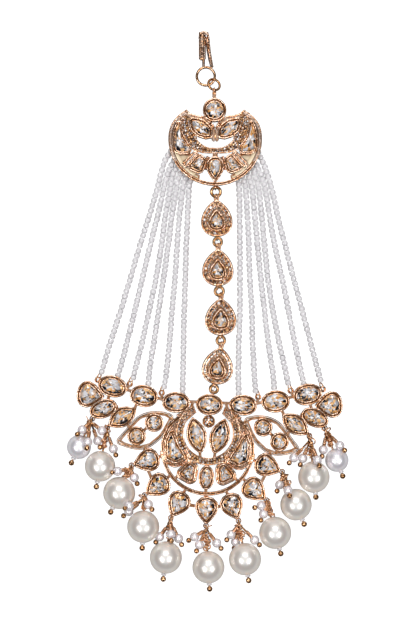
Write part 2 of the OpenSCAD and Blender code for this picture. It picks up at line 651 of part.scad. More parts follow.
// A round bead drilled through along direction w
module drilled(at, w, r, hole) {
    translate(at)
        rotate([0, acos(w[2]), atan2(w[1], w[0])])
            difference() {
                sphere(r, $fn = 64);
                cylinder(h = 3 * r, r = hole, center = true, $fn = 24);
            }
}

module pearl(i) {
    color("ivory")
        drilled(drop_pearl(i), pin_way(i), drops[i][1], pin_r + thread_gap);
}

module pearl_pin(i) {
    w = pin_way(i);
    end = drop_pearl(i) + drops[i][2] * w;
    color("goldenrod") {
        translate(drop_loop(i))
            rotate([0, -asin(w[2]), atan2(w[1], w[0])])
                hoop(drop_eye_r, fine_wire);
        rod(drop_loop(i) + (drop_eye_r - 0.05) * w, end, pin_r, 12);
        translate(end)
            sphere(ball_r, $fn = 32);
    }
}

module drop_ring(i) {
    d = drop_loop(i) - drop_low(i);
    color("goldenrod") {
        translate(mid(drop_low(i), drop_loop(i)))
            rotate([90, 0, atan2(d[1], d[0])])
                hoop(norm(d) / 2, fine_wire);
        rod(ring_top(i), hub(i), stalk_r, 8);
        for (c = cluster)
            if (c[2] == i)
                cluster_pin(hub(i) - [0, 0, hub_sink], small_pearl(c));
    }
}

module cluster_pin(a, b) {
    w = (b - a) / norm(b - a);
    rod(a, b + (cluster_r + small_ball_r) * w, small_pin_r, 8);
    translate(b + (cluster_r + small_ball_r + thread_gap) * w)
        sphere(small_ball_r, $fn = 24);
}

module cluster_pearls(from, to) {
    color("white")
        for (c = cluster)
            if (c[2] >= from && c[2] <= to) {
                d = small_pearl(c) - hub(c[2]) + [0, 0, hub_sink];
                drilled(small_pearl(c), d / norm(d), cluster_r, small_pin_r + thread_gap);
            }
}

// Hair hook: sleeve of two wires, bent over to a spring wire, soldered to its ring
hook_ring_at = [-0.6, 72.5];
hook_ring_r = 2.8;
hook_z = 1.25;
hook_wire = [[-1.1, 85.3], [-0.75, 86.2], [-0.2, 86.2], [0.1, 85.0], [0.25, 83.7], [0.55, 80.6],
    [1.0, 77.6], [1.45, 75.2]];
hook_rise = [0, 0, 0, 0, 0, 0.1, 0.45, 0.95];
// Second wire soldered along the inner side of the first
inner_wire = [[-0.65, 84.6], [-0.3, 83.2], [0.0, 80.6], [0.55, 77.6], [1.15, 75.2]];
inner_rise = [0, 0, 0.1, 0.45, 0.95];
spring_r = 0.4;
sleeve_r = 0.5;
sleeve_x = [-2.3, -1.1];
sleeve_y = [77.9, 86.2];
stem = [[-1.3, 78.2], [-1.3, 75.3]];
web_h = 0.5;
crimp = [[-2.0, 81.5], [0.6, 3.6, 0.75]];

module hair_hook() {
    color("goldenrod") {
        translate([hook_ring_at[0], hook_ring_at[1], hook_z])
            hoop(hook_ring_r, spring_r);
        rod([stem[0][0], stem[0][1], hook_z], [stem[1][0], stem[1][1], hook_z], 0.45, 16);
        for (x = sleeve_x)
            rod([x, sleeve_y[0], hook_z], [x, sleeve_y[1], hook_z], sleeve_r, 16);
        translate([sleeve_x[0], sleeve_y[0], hook_z - web_h / 2])
            cube([sleeve_x[1] - sleeve_x[0], sleeve_y[1] - sleeve_y[0] - 0.2, web_h]);
        translate([crimp[0][0], crimp[0][1], hook_z])
            cube(crimp[1]);
        for (i = [0:len(hook_wire) - 2])
            rod([hook_wire[i][0], hook_wire[i][1], hook_z + hook_rise[i]],
                [hook_wire[i + 1][0], hook_wire[i + 1][1], hook_z + hook_rise[i + 1]], spring_r, 12);
        for (i = [0:len(inner_wire) - 2])
            rod([inner_wire[i][0], inner_wire[i][1], hook_z + inner_rise[i]],
                [inner_wire[i + 1][0], inner_wire[i + 1][1], hook_z + inner_rise[i + 1]], spring_r, 12);
    }
}

jump_at = [1.95, 69.95];
jump_tilt = 31;
jump_r = 1.9;
module jump_ring() {
    color("goldenrod")
        translate([jump_at[0], jump_at[1], hook_z])
            rotate([-jump_tilt, 0, -45])
                hoop(jump_r, ring_wire);
}

hair_hook();
jump_ring();
upper_crescent();
upper_round();
upper_leaf_stones();
upper_wedge_stones();
upper_fan_stones();
upper_baguettes();
upper_drop();
upper_inlay();
pear_link(0);  // link_1
pear_link(1);  // link_2
pear_link(2);  // link_3
pear_link(3);  // link_4
link_stones();
link_pave();
chain_rings();
lower_panel();
row_stone_centre();
row_stones_left();
row_stones_right();
flank_stones_left();
flank_stones_right();
leaf_stones();
petal_stones();
crescent_stones();
fringe_stones_left();
fringe_stone_centre();
fringe_stones_right();
bead_strand(left_routes[0]);  // bead_strand_left_1
bead_strand(left_routes[1]);  // bead_strand_left_2
bead_strand(left_routes[2]);  // bead_strand_left_3
bead_strand(left_routes[3]);  // bead_strand_left_4
bead_strand(left_routes[4]);  // bead_strand_left_5
bead_strand(left_routes[5]);  // bead_strand_left_6
bead_strand(right_routes[0]);  // bead_strand_right_1
bead_strand(right_routes[1]);  // bead_strand_right_2
bead_strand(right_routes[2]);  // bead_strand_right_3
bead_strand(right_routes[3]);  // bead_strand_right_4
bead_strand(right_routes[4]);  // bead_strand_right_5
bead_strand(right_routes[5]);  // bead_strand_right_6
pearl(0);  // pearl_1
pearl(1);  // pearl_2
pearl(2);  // pearl_3
pearl(3);  // pearl_4
pearl(4);  // pearl_5
pearl(5);  // pearl_6
pearl(6);  // pearl_7
pearl(7);  // pearl_8
pearl(8);  // pearl_9
pearl(9);  // pearl_10
pearl(10);  // pearl_11
for (i = [0:5]) pearl_pin(i);  // pearl_pins_left
for (i = [6:10]) pearl_pin(i);  // pearl_pins_right
for (i = [0:5]) drop_ring(i);  // drop_rings_left
for (i = [6:10]) drop_ring(i);  // drop_rings_right
cluster_pearls(0, 5);  // cluster_pearls_left
cluster_pearls(6, 10);  // cluster_pearls_right
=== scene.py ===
"""Bridal side headpiece lying flat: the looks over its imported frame.

The frame gives every solid in metres, X right, Y towards the hair hook, Z up from the
table. This script re-cuts the stones, lays bezel lips, rim wires, pave and seed beads on
the castings, hangs the fine wire work of the drops, and sets a plain studio round it.
"""

from __future__ import annotations
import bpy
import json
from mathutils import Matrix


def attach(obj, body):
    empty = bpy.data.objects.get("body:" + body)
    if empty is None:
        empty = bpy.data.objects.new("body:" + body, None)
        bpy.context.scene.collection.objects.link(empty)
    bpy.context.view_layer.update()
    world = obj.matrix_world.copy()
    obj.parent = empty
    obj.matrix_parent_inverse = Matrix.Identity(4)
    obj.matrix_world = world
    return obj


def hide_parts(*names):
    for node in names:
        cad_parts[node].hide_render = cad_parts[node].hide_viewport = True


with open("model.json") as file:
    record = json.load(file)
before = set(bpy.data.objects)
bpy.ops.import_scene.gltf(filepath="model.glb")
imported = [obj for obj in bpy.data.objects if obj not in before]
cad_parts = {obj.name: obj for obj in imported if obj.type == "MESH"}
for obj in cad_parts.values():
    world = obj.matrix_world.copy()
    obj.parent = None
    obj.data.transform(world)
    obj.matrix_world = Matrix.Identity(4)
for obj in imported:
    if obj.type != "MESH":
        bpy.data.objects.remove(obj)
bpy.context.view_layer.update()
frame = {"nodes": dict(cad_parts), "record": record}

import json
import logging
import math
from dataclasses import dataclass, field
from enum import Enum
from typing import Iterable, Optional, Sequence

import bpy
import numpy as np

log = logging.getLogger("headpiece")

MM = 0.001
BODY = "root"
UP = np.array([0.0, 0.0, 1.0])
BLACK, WHITE = (0.0, 0.0, 0.0), (1.0, 1.0, 1.0)
WAVE_POINTS = 256  # points at which an outline is read before it is smoothed

# Places of the castings, in millimetres, as in the part's source
UPPER_AT = np.array([2.3, 52.9])
UPPER_LIFT = 1.85
PANEL_AT = np.array([0.54, -29.3])
PANEL_TURN = -2.4

Colour = tuple[float, float, float]
Socket = bpy.types.NodeSocket
Array = np.ndarray


class Shading(Enum):
    """How the faces of a new piece are shaded."""

    FACETED = "faceted"
    SMOOTH = "smooth"


class Metal(Enum):
    """Names of the gold finishes, as the record's slots."""

    CAST = "cast_gold"
    WIRE = "wire_gold"
    HOOK = "hook_gold"


# Flat paths


def unit(vectors: Array) -> Array:
    """Returns the vectors, each divided by its length."""
    return vectors / np.linalg.norm(vectors, axis=-1, keepdims=True)


def along(path: Array, closed: bool) -> Array:
    """The direction at each point of a path, from its two neighbours.

    Args:
        path: points, one row each.
        closed: whether the path is a ring.

    Returns:
        One unit vector for each point.
    """
    if closed:
        return unit(np.roll(path, -1, axis=0) - np.roll(path, 1, axis=0))
    return unit(np.gradient(path, axis=0))


def polar(radius: float, degrees: float | Array) -> Array:
    """Returns flat points: the radius times (cosine, sine) of each angle in degrees."""
    a = np.radians(degrees)
    return np.stack([radius * np.cos(a), radius * np.sin(a)], axis=-1)


def ellipse(a: float, b: float, count: int = 24, start: float = 0.0) -> Array:
    """Returns points of an ellipse, anticlockwise: (a cosine, b sine) of the angle."""
    t = np.radians(start) + np.linspace(0, 2 * np.pi, count, endpoint=False)
    return np.stack([a * np.cos(t), b * np.sin(t)], axis=1)


def turned(points: Array, degrees: float) -> Array:
    """Returns flat points turned about the origin, anticlockwise."""
    c, s = math.cos(math.radians(degrees)), math.sin(math.radians(degrees))
    return np.asarray(points, float) @ np.array([[c, s], [-s, c]])


def mirrored(points: Array) -> Array:
    """Returns flat points mirrored left to right, in reverse order."""
    return (np.asarray(points, float) * [-1, 1])[::-1]


def both_sides(right: Array) -> tuple[Array, Array]:
    """Returns a flat path of the right half and its mirror image."""
    return np.asarray(right, float), mirrored(right)


def arch(right: Array) -> Array:
    """Returns a path from its left end through the middle, given its right half."""
    return np.vstack([mirrored(right)[:-1], right])


def raised(points: Array, z: float | Array) -> Array:
    """Returns flat points with a height."""
    return np.column_stack([points, np.broadcast_to(z, len(points))])


def panel_place(points: Array) -> Array:
    """Returns flat points of the panel's own plan in the frame."""
    return turned(points, PANEL_TURN) + PANEL_AT


def smooth(points: Sequence[Sequence[float]], per_span: int = 8, closed: bool = False) -> Array:
    """A curve through points, by the Catmull-Rom rule.

    Between points B and C with neighbours A and D, at share t the curve is
    half of 2B + (C - A)t + (2A - 5B + 4C - D)t^2 + (3B - A - 3C + D)t^3.

    Args:
        points: the points, two or three numbers each.
        per_span: points to make for each span.
        closed: whether the curve is a ring.

    Returns:
        The points of the curve, with the last one only if it is open.
    """
    p = np.asarray(points, float)
    ends = (p[-1:], p[:2]) if closed else (2 * p[:1] - p[1:2], 2 * p[-1:] - p[-2:-1])
    p = np.vstack([ends[0], p, ends[1]])
    a, b, c, d = p[:-3, None], p[1:-2, None], p[2:-1, None], p[3:, None]
    t = np.linspace(0, 1, per_span, endpoint=False)[None, :, None]
    square, cube = 2 * a - 5 * b + 4 * c - d, 3 * b - a - 3 * c + d
    curve = 0.5 * (2 * b + (c - a) * t + square * t**2 + cube * t**3)
    curve = curve.reshape(-1, p.shape[1])
    return curve if closed else np.vstack([curve, p[-2:-1]])


def even(path: Array, count: int, closed: bool = False, offset: float = 0.0) -> Array:
    """Points at even distances along a path, linear between its own points.

    Args:
        path: the points of the path.
        count: how many points to give.
        closed: whether the path is a ring.
        offset: shift along the path, as a share of one step.

    Returns:
        The points.
    """
    p = np.vstack([path, path[:1]]) if closed else path
    run = np.concatenate([[0], np.cumsum(np.linalg.norm(np.diff(p, axis=0), axis=1))])
    where = (np.arange(count) + offset) / (count if closed else max(count - 1, 1)) * run[-1]
    return np.stack([np.interp(where, run, p[:, k]) for k in range(p.shape[1])], axis=1)


def length_of(path: Array) -> float:
    """Returns the length of an open path."""
    return float(np.linalg.norm(np.diff(path, axis=0), axis=1).sum())


def rounded(outline: Array, count: int, keep: int) -> Array:
    """A closed outline with its fine corners taken off.

    The outline is read as complex numbers at even distances, and only its slowest
    waves, up to the given number each way, are kept.

    Args:
        outline: points, two numbers each.
        count: points to give.
        keep: number of waves to keep each way.

    Returns:
        The smoothed outline, anticlockwise.
    """
    p = even(outline, WAVE_POINTS, closed=True)
    waves = np.fft.fft(p[:, 0] + 1j * p[:, 1]) / WAVE_POINTS
    numbers = np.fft.fftfreq(WAVE_POINTS, 1 / WAVE_POINTS)
    waves = np.where(np.abs(numbers) <= keep, waves, 0)
    t = np.linspace(0, 2 * np.pi, count, endpoint=False)
    curve = (waves[None] * np.exp(1j * numbers[None] * t[:, None])).sum(axis=1)
    return np.stack([curve.real, curve.imag], axis=1)


# Surfaces


@dataclass
class Surface:
    """A triangle mesh under construction, in millimetres."""

    points: Array  # vertices, one row each
    tris: Array  # vertex numbers, three a row, anticlockwise seen from outside
    # (angle share, radius share, stone number) for each corner of a cut stone
    facet: Optional[Array] = None

    def placed(self, at: Sequence[float], turn: float = 0.0) -> Surface:
        """Returns the surface turned about Z by turn degrees and moved to at."""
        flat = turned(self.points[:, :2], turn)
        return Surface(np.column_stack([flat, self.points[:, 2]]) + at, self.tris, self.facet)


def joined(parts: Iterable[Surface]) -> Surface:
    """Joins surfaces, with their vertex numbers shifted part by part.

    Args:
        parts: surfaces, all with or all without facet values.

    Returns:
        The joined surface.
    """
    parts = list(parts)
    starts = np.cumsum([0] + [len(p.points) for p in parts[:-1]])
    facet = None if parts[0].facet is None else np.vstack([p.facet for p in parts])
    tris = np.vstack([p.tris + n for p, n in zip(parts, starts)])
    return Surface(np.vstack([p.points for p in parts]), tris, facet)


def faces(*corners: Array | int) -> Array:
    """Returns faces, one a row, from the numbers of their first, second, ... corners."""
    return np.stack(np.broadcast_arrays(*corners), axis=1)


def split_quads(quads: Array) -> Array:
    """Returns two triangles for each quad, cut from its first to its third corner."""
    return np.vstack([quads[:, [0, 1, 2]], quads[:, [0, 2, 3]]])


def ring_quads(rings: int, count: int, wrap: bool) -> Array:
    """The quads between rings of points.

    Args:
        rings: number of rings.
        count: number of points in each.
        wrap: whether the last ring joins the first.

    Returns:
        Corner numbers, one quad a row.
    """
    i, j = (v.ravel() for v in np.meshgrid(np.arange(rings - (not wrap)), np.arange(count), indexing="ij"))
    i2, j2 = (i + 1) % rings, (j + 1) % count
    return faces(i * count + j, i2 * count + j, i2 * count + j2, i * count + j2)


def capped(grid: Array, quads: Array) -> Surface:
    """Closes the first and the last ring of a grid with a fan each.

    Args:
        grid: points of shape (rings, points, 3).
        quads: the quads between the rings.

    Returns:
        The closed surface. The fans turn away from each other, along the rings.
    """
    rings, count = grid.shape[:2]
    j = np.arange(count)
    j2, last = (j + 1) % count, (rings - 1) * count
    fans = [faces(rings * count, j, j2), faces(rings * count + 1, last + j2, last + j)]
    points = np.vstack([grid.reshape(-1, 3), grid[0].mean(axis=0), grid[-1].mean(axis=0)])
    return Surface(points, np.vstack([split_quads(quads), *fans]))


def tube(
    path: Array,
    radius: float,
    sides: int = 8,
    closed: bool = False,
    ref: Sequence[float] = (0.0, 0.0, 1.0),
) -> Surface:
    """A round wire along a path.

    Each point of the surface is the path's point plus the radius times
    (cosine of the angle times N plus sine of the angle times T x N), where T is the
    path's direction and N is ref without its share along T.

    Args:
        path: points, one row each.
        radius: wire radius.
        sides: points round the wire.
        closed: whether the path is a ring.
        ref: a direction that the path never follows.

    Returns:
        The closed tube.
    """
    t, ref = along(path, closed), np.asarray(ref, float)
    n = unit(ref - t * (t @ ref)[:, None])
    circle = ellipse(1, 1, sides)[None]
    grid = path[:, None] + radius * (circle[..., :1] * n[:, None] + circle[..., 1:] * np.cross(t, n)[:, None])
    quads = ring_quads(len(path), sides, closed)[:, ::-1]
    return Surface(grid.reshape(-1, 3), split_quads(quads)) if closed else capped(grid, quads)


def band(
    outline: Array,
    z: float,
    half: tuple[float, float],
    out: float = 0.0,
    sides: int = 8,
    closed: bool = True,
) -> Surface:
    """A moulding of elliptic section along a flat outline that runs anticlockwise.

    Each point of the surface is the outline's point plus out and the ellipse's first
    value outwards, at height z plus the ellipse's second value.

    Args:
        outline: points of the outline, two numbers each.
        z: height of the section's middle.
        half: half width and half height of the section.
        out: how far outside the outline the section's middle is.
        sides: points round the section.
        closed: whether the outline is a ring.

    Returns:
        The closed moulding.
    """
    profile = ellipse(*half, sides) + [out, 0]
    normal = along(outline, closed)[:, ::-1] * [1, -1]
    flat = outline[:, None] + profile[None, :, :1] * normal[:, None]
    high = np.broadcast_to(z + profile[None, :, 1:], flat.shape[:2] + (1,))
    grid = np.concatenate([flat, high], axis=2)
    quads = ring_quads(len(outline), sides, closed)
    if closed:
        return Surface(grid.reshape(-1, 3), split_quads(quads))
    part = capped(grid, quads)
    part.tris[-2 * sides :] = part.tris[-2 * sides :, ::-1]
    return part


def oval_ring(
    half: tuple[float, float], rise: tuple[float, float], at: Array, z: float, lean: float, wire: float
) -> Surface:
    """A wire ring that leans out of the table's plane.

    At angle t the point is (half[0] cosine t, half[1] sine t), turned by lean and moved
    to at, at height z plus rise[0] cosine t plus rise[1] sine t.

    Args:
        half: half length and half width.
        rise: share of the height that follows the cosine, and the sine.
        at: its middle, flat.
        z: height of its middle.
        lean: degrees of its long axis.
        wire: radius of the wire.

    Returns:
        The ring.
    """
    path = raised(turned(ellipse(*half), lean) + at, z + ellipse(1, 1) @ rise)
    return tube(path, wire, closed=True, ref=(0.1, 0.2, 1.0))


def ball(rows: int = 3, cols: int = 7, low: float = -20.0) -> Surface:
    """A unit sphere, or its part above a latitude, closed underneath.

    A point is (cos e cos a, cos e sin a, sin e) for angle a round the axis and
    elevation e from low to the top.

    Args:
        rows: rings between the two ends.
        cols: points on each ring.
        low: lowest elevation in degrees.

    Returns:
        The closed surface.
    """
    whole = low <= -90
    levels = np.linspace(low, 90.0, rows + 2)[1:-1] if whole else np.linspace(low, 90.0, rows + 1)[:-1]
    e = np.radians(levels)[:, None, None]
    high = np.broadcast_to(np.sin(e), (rows, cols, 1))
    grid = np.concatenate([np.cos(e) * ellipse(1, 1, cols), high], axis=2)
    part = capped(grid, ring_quads(rows, cols, False)[:, ::-1])
    part.points[-1] = UP
    if whole:
        part.points[-2] = -UP
    return part


def frames_on(axis: Array, scale: Sequence[float] | Array | float) -> Array:
    """Frames whose third axis is the given direction.

    Args:
        axis: directions, one row each.
        scale: one length for each of the three axes, for all or for each frame.

    Returns:
        Matrices of shape (n, 3, 3) with the scaled axes as columns.
    """
    w = unit(np.asarray(axis, float))
    u = unit(np.cross(np.where(np.abs(w[:, 2:]) > 0.9, [[1.0, 0, 0]], [[0, 0, 1.0]]), w))
    s = np.broadcast_to(np.asarray(scale, float), (len(w), 3))
    return np.stack([u, np.cross(w, u), w], axis=2) * s[:, None, :]


def scattered(part: Surface, at: Array, axis: Array, scale: Sequence[float] | float) -> Surface:
    """Copies of a part, each with its own direction, size and place.

    Args:
        part: the shape to repeat, about its origin, Z up.
        at: places, one row each.
        axis: where each copy's Z points, for all or for each.
        scale: lengths of the three axes.

    Returns:
        One surface with all the copies.
    """
    frames = frames_on(np.broadcast_to(axis, at.shape), scale)
    points = np.einsum("kab,nb->kna", frames, part.points) + at[:, None]
    step = np.arange(len(at))[:, None, None] * len(part.points)
    facet = None
    if part.facet is not None:
        facet = np.tile(part.facet, (len(at), 1))
        facet[:, 2] = np.repeat(np.arange(len(at)), len(part.facet))
    return Surface(points.reshape(-1, 3), (part.tris[None] + step).reshape(-1, 3), facet)


# Materials


class NodeTree:
    """Short ways to add and feed shader nodes."""

    def __init__(self, tree: bpy.types.NodeTree) -> None:
        """Keeps the tree."""
        self.tree = tree

    def feed(self, node: bpy.types.Node, inputs: dict[str | int, object]) -> None:
        """Sets or links inputs of a node.

        Args:
            node: the node.
            inputs: name or number of each input, to its value or the socket that feeds it.
        """
        for name, value in inputs.items():
            socket = node.inputs[name]
            if isinstance(value, Socket):
                self.tree.links.new(value, socket)
            else:
                socket.default_value = (*value, 1.0) if socket.type == "RGBA" else value

    def add(self, kind: str, inputs: Optional[dict] = None, **values: object) -> bpy.types.Node:
        """Adds a node.

        Args:
            kind: its type name, after the word that all shader nodes start with.
            inputs: its inputs, as feed takes them.
            values: attributes of the node, set by name.

        Returns:
            The new node.
        """
        node = self.tree.nodes.new("ShaderNode" + kind)
        for name, value in values.items():
            setattr(node, name, value)
        self.feed(node, inputs or {})
        return node

    def maths(self, operation: str, a: object, b: object) -> Socket:
        """Returns a sum, product or the like of two values or sockets."""
        return self.add("Math", {0: a, 1: b}, operation=operation).outputs[0]

    def mix(self, share: object, a: object, b: object, blend: str = "MIX") -> Socket:
        """Returns colour a mixed with colour b by a share, all of them values or sockets."""
        return self.add("Mix", {0: share, 6: a, 7: b}, data_type="RGBA", blend_type=blend).outputs[2]

    def spread(self, value: Socket, start: float, end: float, low: float = 0.0, high: float = 1.0) -> Socket:
        """Returns the value, with start to end made low to high and kept between them."""
        ends = {"From Min": start, "From Max": end, "To Min": low, "To Max": high}
        return self.add("MapRange", {"Value": value} | ends).outputs[0]

    def ramp(self, share: Socket, stops: Sequence[tuple], kind: str = "LINEAR") -> Socket:
        """Adds a colour ramp.

        Args:
            share: socket that picks the colour.
            stops: (place, colour) pairs in order.
            kind: interpolation.

        Returns:
            The colour's socket.
        """
        node = self.add("ValToRGB", {0: share})
        node.color_ramp.interpolation = kind
        bits = node.color_ramp.elements
        while len(bits) < len(stops):
            bits.new(0.5)
        for bit, (place, colour) in zip(bits, stops):
            bit.position, bit.color = place, (*colour, 1.0)
        return node.outputs[0]


class Group(NodeTree):
    """A node group under construction."""

    def __init__(self, name: str, inputs: dict[str, Optional[float]], outputs: Sequence[str]) -> None:
        """Makes the group with its sockets.

        Args:
            name: the group's name.
            inputs: name of each input, to its default, or to None for a vector.
            outputs: names of the values that it gives.
        """
        super().__init__(bpy.data.node_groups.new(name, "ShaderNodeTree"))
        sockets = self.tree.interface.new_socket
        for label, value in inputs.items():
            if value is None:
                sockets(label, in_out="INPUT", socket_type="NodeSocketVector")
            else:
                sockets(label, in_out="INPUT", socket_type="NodeSocketFloat").default_value = value
        for label in outputs:
            sockets(label, in_out="OUTPUT", socket_type="NodeSocketFloat")
        self.enter = self.tree.nodes.new("NodeGroupInput").outputs
        self.leave = self.tree.nodes.new("NodeGroupOutput")


class Effects:
    """Node groups that several finishes share, by name."""

    def __init__(self) -> None:
        """Builds the groups once."""
        self.groups = {"height": self._height(), "mottle": self._mottle(), "painted_glints": self._painted_glints()}

    @staticmethod
    def _height() -> bpy.types.NodeTree:
        """The share of the height that a point reaches between two levels.

        Returns:
            The group.
        """
        group = Group("height", {"Position": None, "Low": 0.0, "High": 0.003}, ["Share"])
        z = group.add("SeparateXYZ", {0: group.enter["Position"]}).outputs[2]
        group.feed(group.leave, {"Share": group.spread(z, group.enter["Low"], group.enter["High"])})
        return group.tree

    @staticmethod
    def _mottle() -> bpy.types.NodeTree:
        """Soft uneven patches from 0 to 1, as in plating or nacre.

        Returns:
            The group.
        """
        group = Group("mottle", {"Position": None, "Scale": 400.0}, ["Value"])
        size = {"Vector": group.enter["Position"], "Scale": group.enter["Scale"]}
        noise = group.add("TexNoise", size | {"Detail": 3.0, "Roughness": 0.6})
        group.feed(group.leave, {"Value": group.spread(noise.outputs[0], 0.3, 0.7)})
        return group.tree

    @staticmethod
    def _painted_glints() -> bpy.types.NodeTree:
        """Two random values for each painted glint, a shard of painted reflection in a cut stone.

        The shards are the cells of a Voronoi pattern over (angle, radius, stone), so
        they run to points at the middle as the facets under a table do.

        Returns:
            The group.
        """
        inputs = {"Facet": None, "Sectors": 11.0, "Rings": 2.6}
        group = Group("painted_glints", inputs, ["Value", "Second"])
        apart = group.add("SeparateXYZ", {0: group.enter["Facet"]}).outputs
        times = (group.enter["Sectors"], group.enter["Rings"], 7.3)
        cell = {k: group.maths("MULTIPLY", apart[k], times[k]) for k in range(3)}
        where = {"Vector": group.add("CombineXYZ", cell).outputs[0], "Scale": 1.0}
        cells = group.add("TexVoronoi", where, distance="MANHATTAN")
        colour = group.add("SeparateColor", {0: cells.outputs["Color"]}).outputs
        group.feed(group.leave, {"Value": colour[0], "Second": colour[1]})
        return group.tree


class MaterialTree(NodeTree):
    """The nodes of one material, with object coordinates and the shared effects."""

    def __init__(self, tree: bpy.types.NodeTree, effects: Effects) -> None:
        """Keeps the tree and the effects, and adds the coordinates.

        Args:
            tree: the material's nodes.
            effects: the shared groups.
        """
        super().__init__(tree)
        self.effects = effects
        self.place = self.add("TexCoord").outputs["Object"]

    def effect(self, name: str, **inputs: object) -> bpy.types.bpy_prop_collection:
        """Returns the outputs of a new node with one of the shared groups."""
        return self.add("Group", inputs, node_tree=self.effects.groups[name]).outputs

    def patches(self, scale: float) -> Socket:
        """Returns soft patches from 0 to 1, scale of them to a metre."""
        return self.effect("mottle", Position=self.place, Scale=scale)["Value"]


@dataclass(frozen=True)
class Finish:
    """A finish, which a kind of its own fills in."""

    name: str  # material name

    def inputs(self, tree: MaterialTree) -> dict[str, object]:
        """Returns what the shader's inputs are set to or fed with."""
        raise NotImplementedError

    def make(self, effects: Effects) -> bpy.types.Material:
        """Builds the material: one Principled shader with the finish's inputs.

        Args:
            effects: the shared groups.

        Returns:
            The material.
        """
        material = bpy.data.materials.new(self.name)
        material.use_nodes = True
        tree = MaterialTree(material.node_tree, effects)
        tree.feed(tree.tree.nodes["Principled BSDF"], self.inputs(tree))
        return material


@dataclass(frozen=True)
class GoldFinish(Finish):
    """Rose gold plate with painted shade by height: full colour on raised parts, painted shade on the low
    plates, darkest on the channel floors.
    """

    bright: Colour = (0.97, 0.72, 0.56)  # colour of the raised parts
    aged: Colour = (0.66, 0.34, 0.16)  # colour of the worn patches
    low_shade: Colour = (0.94, 0.82, 0.72)  # painted shade of the plates and bars low in the work
    wash: Colour = (0.22, 0.10, 0.04)  # painted shade of the channel floors
    speck: Colour = (0.36, 0.21, 0.13)  # colour of the fine pits
    back: float = 0.0  # height of the casting's back, in millimetres
    channel: float = 1.5  # height of the channel floors above the back
    top: float = 1.85  # height above the back from which no painted shade darkens it
    depth: float = 3.0  # height over which the colours are spread
    roughness: float = 0.06  # least roughness

    def inputs(self, tree: MaterialTree) -> dict[str, object]:
        """Painted shade by height, colours by wear and pits, with roughness by wear and a fine bump.

        Args:
            tree: the material's nodes.

        Returns:
            Values and sockets by input name.
        """
        low, high = self.back * MM, (self.back + self.depth) * MM
        # Painted shade: darker on low plates and darkest on channel floors, by height alone.
        share = tree.effect("height", Position=tree.place, Low=low, High=high)["Share"]
        stops = [(0.0, self.low_shade), (self.channel - 0.12, self.low_shade), (self.channel + 0.03, self.wash)]
        shade_by_height = tree.ramp(share, [(z / self.depth, colour) for z, colour in (*stops, (self.top, WHITE))])
        patches = tree.patches(800.0)
        worn = tree.ramp(patches, [(0.0, self.bright), (0.34, self.bright), (0.76, self.aged)])
        pits = tree.ramp(tree.patches(2100.0), [(0.0, self.speck), (0.45, WHITE)])
        fine = tree.add("TexNoise", {"Vector": tree.place, "Scale": 1700.0})
        bump = tree.add("Bump", {"Strength": 0.6, "Distance": 0.00012, "Height": fine.outputs[0]})
        return {
            "Base Color": tree.mix(1.0, tree.mix(1.0, worn, shade_by_height, "MULTIPLY"), pits, "MULTIPLY"),
            "Metallic": 1.0,
            "Roughness": tree.spread(patches, 0.0, 1.0, self.roughness, self.roughness + 0.16),
            "Normal": bump.outputs[0],
        }


@dataclass(frozen=True)
class StoneFinish(Finish):
    """Clear foil-backed glass whose colour is painted reflections: glowing shards of white, grey, black and
    amber.
    """

    sectors: float = 13.0  # shards round the stone
    rings: float = 3.1  # shards from the middle to the edge
    dark: float = 0.12  # share of black shards, painted dark reflections
    amber: float = 0.44  # share up to which shards are amber
    edge: float = 0.36  # how much further the painted amber and black reflections reach at the edge

    def inputs(self, tree: MaterialTree) -> dict[str, object]:
        """Paints coarse and fine shards of reflection, some duller than others, which glow as painted light.

        Args:
            tree: the material's nodes.

        Returns:
            Values and sockets by input name.
        """
        facet = tree.add("Attribute", attribute_name="facet").outputs["Vector"]
        radius = tree.add("SeparateXYZ", {0: facet}).outputs[1]
        pull = tree.spread(radius, 0.35, 1.0, 0.0, self.edge)
        layers = []
        for times in (1.0, 1.7):
            size = {"Sectors": self.sectors * times, "Rings": self.rings * times}
            layers.append(tree.effect("painted_glints", Facet=facet, **size))
        picked = [tree.maths("SUBTRACT", layer["Value"], pull) for layer in layers]
        colours = [tree.ramp(value, self._stops(), "CONSTANT") for value in picked]
        second = layers[0]["Second"]
        layer = tree.ramp(second, [(0.0, BLACK), (0.55, (0.4, 0.4, 0.4)), (0.8, WHITE)], "CONSTANT")
        colour = tree.mix(layer, *colours)
        return {
            "Base Color": colour,
            # Painted light: the painted reflections glow.
            "Emission Color": colour,
            "Emission Strength": 0.22,
            "Roughness": tree.spread(second, 0.0, 1.0, 0.03, 0.3),
            "Metallic": 0.35,
            "IOR": 1.6,
            "Coat Weight": 0.5,
            "Coat Roughness": 0.02,
        }

    def _stops(self) -> list[tuple[float, Colour]]:
        """The colours of the painted reflection shards, dark ones first.

        Returns:
            (share, colour) pairs.
        """
        return [
            (0.0, (0.010, 0.010, 0.014)),
            (self.dark, (0.16, 0.075, 0.03)),
            (self.dark + 0.05, (0.60, 0.27, 0.07)),
            (self.dark + 0.17, (0.80, 0.47, 0.21)),
            (self.amber, (0.22, 0.21, 0.22)),
            (self.amber + 0.07, (0.42, 0.41, 0.43)),
            (self.amber + 0.19, (0.62, 0.61, 0.64)),
            (0.84, (0.97, 0.97, 0.98)),
        ]


